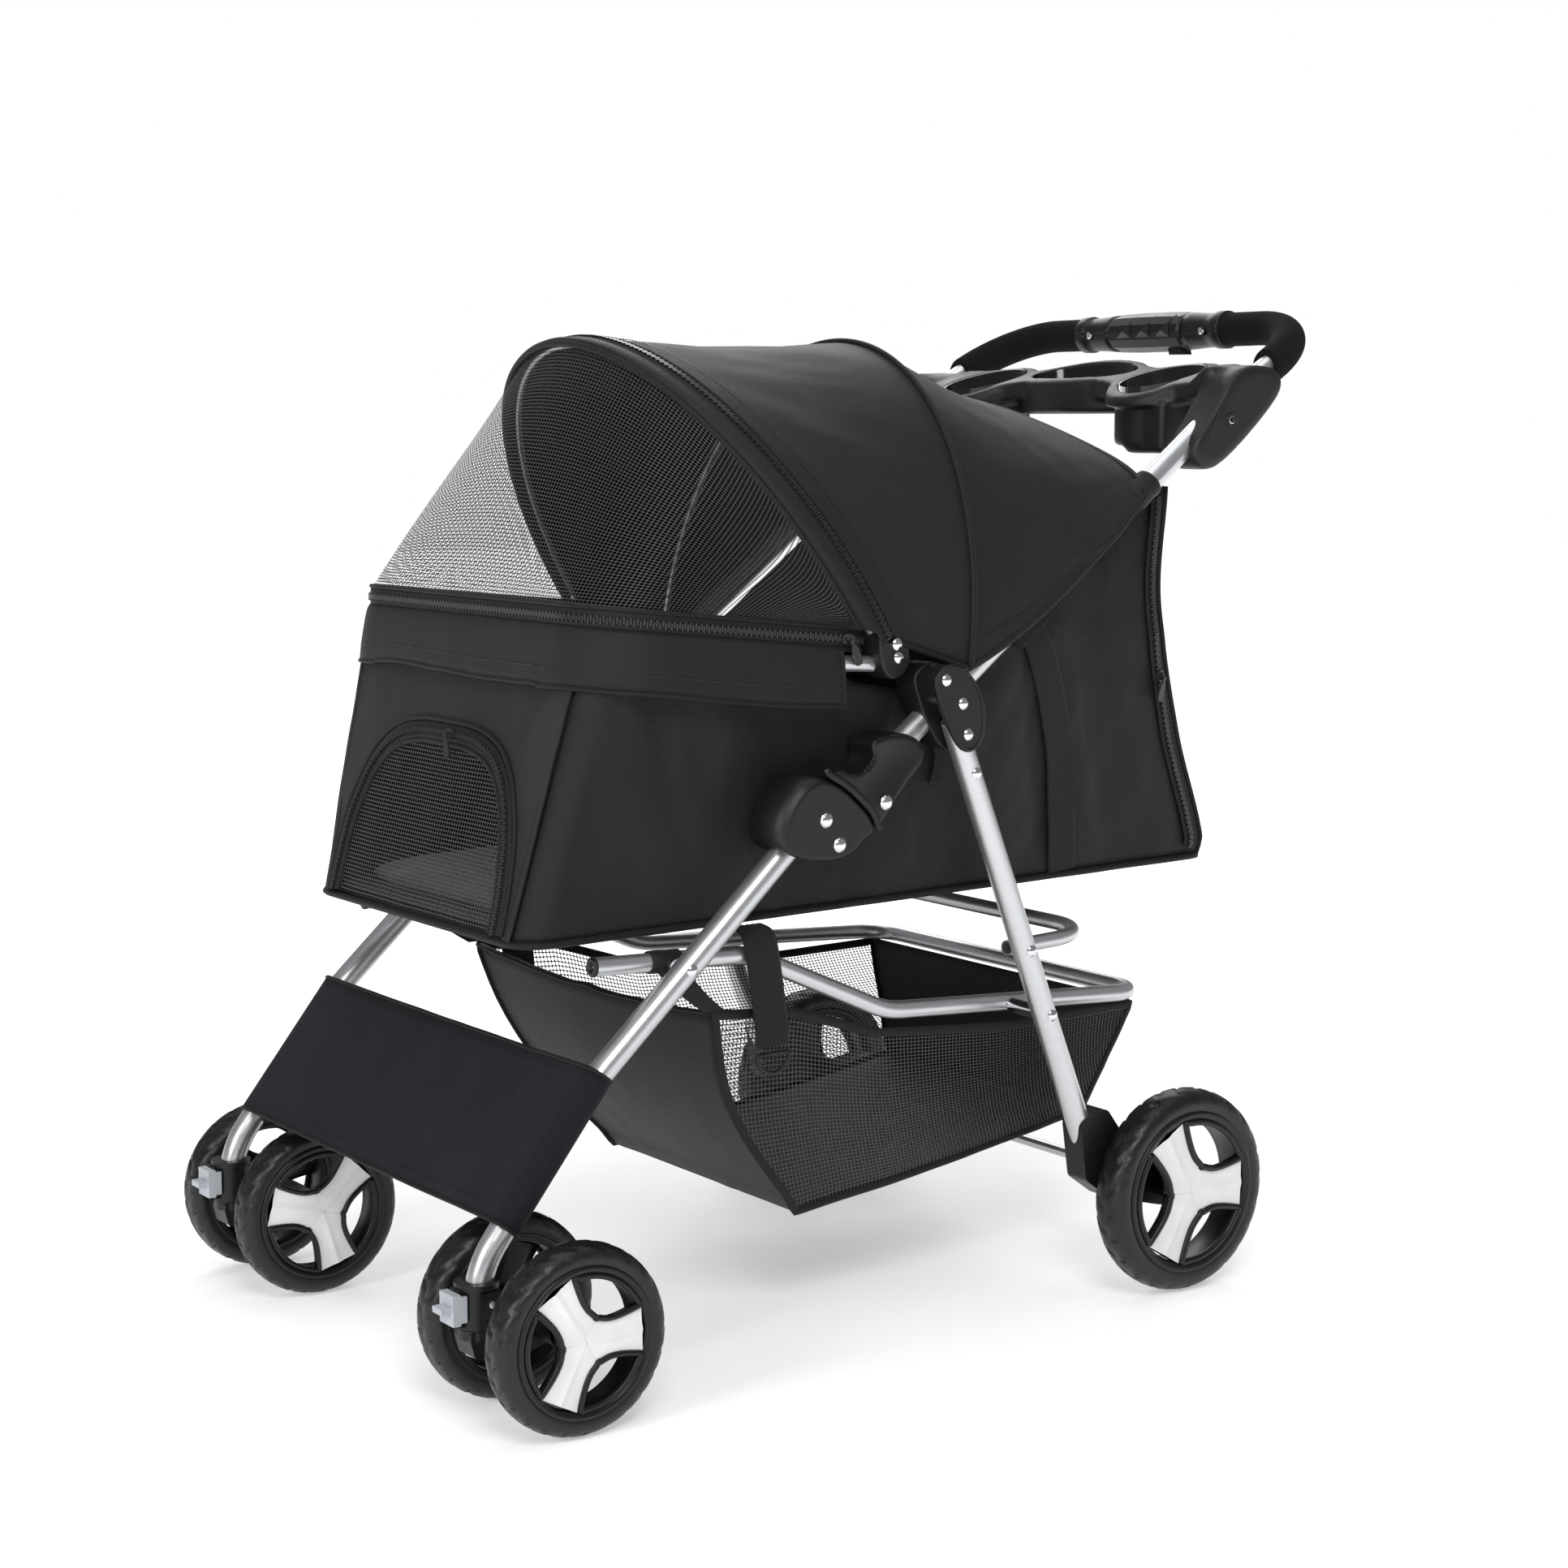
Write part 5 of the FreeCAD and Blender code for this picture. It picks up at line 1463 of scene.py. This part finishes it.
def tray():
    """One moulded shell with round and oval wells, and a clamp on each handle tube."""
    body = Maker()
    top = TRAY_TOP_Z
    tall = Vector((0, 0, 0.026))
    for side in (1, -1):
        body.prism(disc(side * CUP_X, CUP_Y, top - 26, 55), tall)
        body.prism(disc(side * CUP_X, CUP_Y, CUP_FLOOR_Z - 3, CUP_R + 5), Vector((0, 0, 0.05)))
        arm = [(170, 784), (222, 790), (226, 850), (176, 856), (120, 858), (120, 790)]
        body.prism([at(side * x, y, top - 24) for x, y in arm], tall * 0.96)
        link = [(20, 806), (110, 790), (110, 846), (20, 872)]
        body.prism([at(side * x, y, top - 22) for x, y in link], tall * 0.85)
        block = [(CUP_X - 8, 774), (CUP_X + 44, 774), (CUP_X + 44, 832), (CUP_X - 8, 832)]
        body.prism([at(side * x, y, 766) for x, y in block], Vector((0, 0, 0.06)))
        pebble(body, CLAMP, LOCK_IN_X, LOCK_OUT_X, side, 3.0, 5.0)
    body.prism(disc(0, 834, top - 42, 84, 0.50), Vector((0, 0, 0.042)))
    made = body.done("parent_tray_body", TRAY_PLASTIC)
    remesh(made, 0.0026)
    smooth(made, 0.6, 10)
    for vert in made.data.vertices:
        y = (vert.co.y - SHIFT_Y) * 1000
        x = abs(vert.co.x) * 1000
        if vert.co.z > (top - 30) / 1000 and x < 205:
            vert.co.z += (2.2 * cos(x / 42) - 3.5 * max(0, (800 - y) / 30)) / 1000
    cutter = Maker()
    for side in (1, -1):
        cutter.prism(disc(side * CUP_X, CUP_Y, CUP_FLOOR_Z, CUP_R + 1.4), Vector((0, 0, 0.12)))
    cutter.prism(disc(0, 834, top - 38, 70, 0.44), Vector((0, 0, 0.08)))
    carved(made, cutter.done("tray_cutter", TRAY_PLASTIC))
    remesh(made, 0.0019)
    smooth(made, 0.5, 4)
    lean(made)
    recolour(made, TRAY_PLASTIC)
    place(made, UPPER, ["parent_tray"])
    wells = Maker()
    for side in (1, -1):
        spot = at(side * CUP_X, CUP_Y, CUP_FLOOR_Z)
        wells.lathe([(0.6, 0.01), (0.6, CUP_R - 3), (3.5, CUP_R), (top - CUP_FLOOR_Z - 2, CUP_R),
                     (top - CUP_FLOOR_Z - 1, CUP_R + 1.2), (3.5, CUP_R + 1.2),
                     (-0.6, CUP_R - 2.5), (-0.6, 0.01)], spot, (0, 0, 1), 64, closed=False)
    rows = [disc(0, 834, top - down, radius, 0.44, 64)
            for down, radius in ((1.5, 69.6), (6, 69), (34, 66), (37, 62))]
    wells.grid(rows, wrap=True)
    wells.cap(rows[-1])
    lean(wells.done("parent_tray_wells", WELL_PLASTIC, UPPER, "tray_plastic"))
    pins = Maker()
    for side in (1, -1):
        spot = at(side * 248.4, 792, 797)
        pins.lathe([(0.0, 7.0), (1.6, 6.6), (1.6, 4.4), (0.0, 4.2)], spot, (side, 0, 0), 28)
        pins.lathe([(0.0, 0.01), (0.0, 3.0), (4.6, 2.2), (5.2, 1.2), (5.3, 0.01)], spot,
                   (side, 0, 0), 20, closed=False)
        panel = soft_outline([(766, 768), (786, 772), (826, 806), (820, 824), (788, 822),
                              (768, 792)])
        pins.pipe([at(side * 248.7, y, z) for y, z in panel], 0.7, 6, closed=True)
    pins.done("parent_tray_pins", TRAY_PLASTIC, UPPER, "tray_plastic")


# ---------------------------------------------------------------- moulded and metal frame nodes
def finish_frame():
    """Materials for the nodes that keep their own shape."""
    looks = {METAL: ["handle_tube", "rim_rail", "front_legs", "rear_legs", "rear_axle",
                     "hoop_bar", "basket_tube"],
             PLASTIC: ["lock_knuckles", "caster_sockets", "hub_brackets"],
             GREY: [],
             FOAM: ["handle_foam"],
             CHROME: ["upper_fasteners", "leg_fasteners", "rear_fasteners"]}
    for name in SIDES:
        looks[PLASTIC] += ["caster_fork_" + name, "brake_pedal_" + name]
        looks[GREY].append("swivel_lock_" + name)
        looks[CHROME].append("front_axle_" + name)
    for material, names in looks.items():
        for name in names:
            node = NODES[name]
            recolour(node, material)
            if material in (PLASTIC, GREY):
                soften = node.modifiers.new("soft_edges", "BEVEL")
                soften.width = 0.0009
                soften.segments = 2
                soften.limit_method = "ANGLE"
                soften.angle_limit = radians(50)


# ---------------------------------------------------------------- soft pieces
SOFT_CABIN = ("cabin_", "cushion_pad", "floor_board_panel", "hanging_")
SOFT_BASKET = ("basket_mesh_", "basket_binding_", "basket_front", "basket_back", "basket_floor")


def crumple():
    """Gives each shown soft piece of the cabin and basket a mesh of its own."""
    for piece in list(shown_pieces()):
        if piece.name.startswith(SOFT_CABIN):
            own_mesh(piece)
        elif piece.name.startswith(SOFT_BASKET):
            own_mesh(piece)


# ---------------------------------------------------------------- stage
def stage():
    floor = Maker()
    size = 14.0
    floor.grid([[Vector((x, y, -0.0005)) for x in (-size, 0, size)] for y in (-size, 0, size)])
    pale = Shader("floor", (0.88, 0.88, 0.885), 0.65, Specular_IOR_Level=0.15)
    pale.set("Emission Color", (1, 1, 1, 1))
    far = pale.node("ShaderNodeVectorMath")
    far.operation = "LENGTH"
    pale.link(pale.coordinates("Object"), far.inputs[0])
    glow = pale.node("ShaderNodeMapRange", From_Min=0.7, From_Max=2.6, To_Min=0.42, To_Max=0.95)
    pale.link(far.outputs["Value"], glow.inputs["Value"])
    pale.link(glow.outputs[0], pale.shader.inputs["Emission Strength"])
    floor.done("floor", pale.material)
    world = bpy.context.scene.world or bpy.data.worlds.new("studio")
    bpy.context.scene.world = world
    world.use_nodes = True
    nodes, links = world.node_tree.nodes, world.node_tree.links
    nodes["Background"].inputs["Color"].default_value = (1, 1, 1, 1)
    around = nodes.new("ShaderNodeBackground")
    around.inputs["Color"].default_value = (0.96, 0.97, 1.0, 1)
    around.inputs["Strength"].default_value = 0.26
    path, mix = nodes.new("ShaderNodeLightPath"), nodes.new("ShaderNodeMixShader")
    links.new(path.outputs["Is Camera Ray"], mix.inputs[0])
    links.new(around.outputs[0], mix.inputs[1])
    links.new(nodes["Background"].outputs[0], mix.inputs[2])
    links.new(mix.outputs[0], nodes["World Output"].inputs["Surface"])
    bpy.context.scene.view_settings.view_transform = "Standard"
    lamps = (("key", (2.4, -1.4, 2.6), 1.3, 52), ("rim", (-2.2, 1.6, 2.4), 1.8, 34),
             ("front", (0.9, -3.2, 1.5), 0.9, 36), ("top", (-0.2, 0.2, 3.4), 2.4, 28))
    for name, spot, size, power in lamps:
        lamp = bpy.data.lights.new(name, "AREA")
        lamp.energy = power
        lamp.size = size
        made = bpy.data.objects.new(name, lamp)
        made.location = spot
        aim = Vector((0, 0, 0.45)) - made.location
        made.rotation_euler = aim.to_track_quat("-Z", "Y").to_euler()
        bpy.context.scene.collection.objects.link(made)


def camera():
    """Seen from the +X side, turned towards the front and a little above."""
    yaw, pitch = radians(35.82), radians(7.26)
    data = bpy.data.cameras.new("camera")
    data.sensor_width = 36.0
    data.lens = 63.87
    made = bpy.data.objects.new("camera", data)
    made.location = at(2097.15, -1049.32, 788.26)
    look = Vector((-cos(pitch) * cos(yaw), cos(pitch) * sin(yaw), -sin(pitch)))
    made.rotation_euler = look.to_track_quat("-Z", "Y").to_euler()
    bpy.context.scene.collection.objects.link(made)
    bpy.context.scene.camera = made


cabin_walls()
cabin_front()
cabin_rear()
cabin_straps()
cabin_floor()
floor_board()
cushion()
rim()
canopy_front()
canopy_rear()
basket()
basket_tube_ends()
leg_panel()
hanging_straps()
fold_locks()
brackets()
grip()
tray()
finish_frame()
crumple()
stage()
camera()
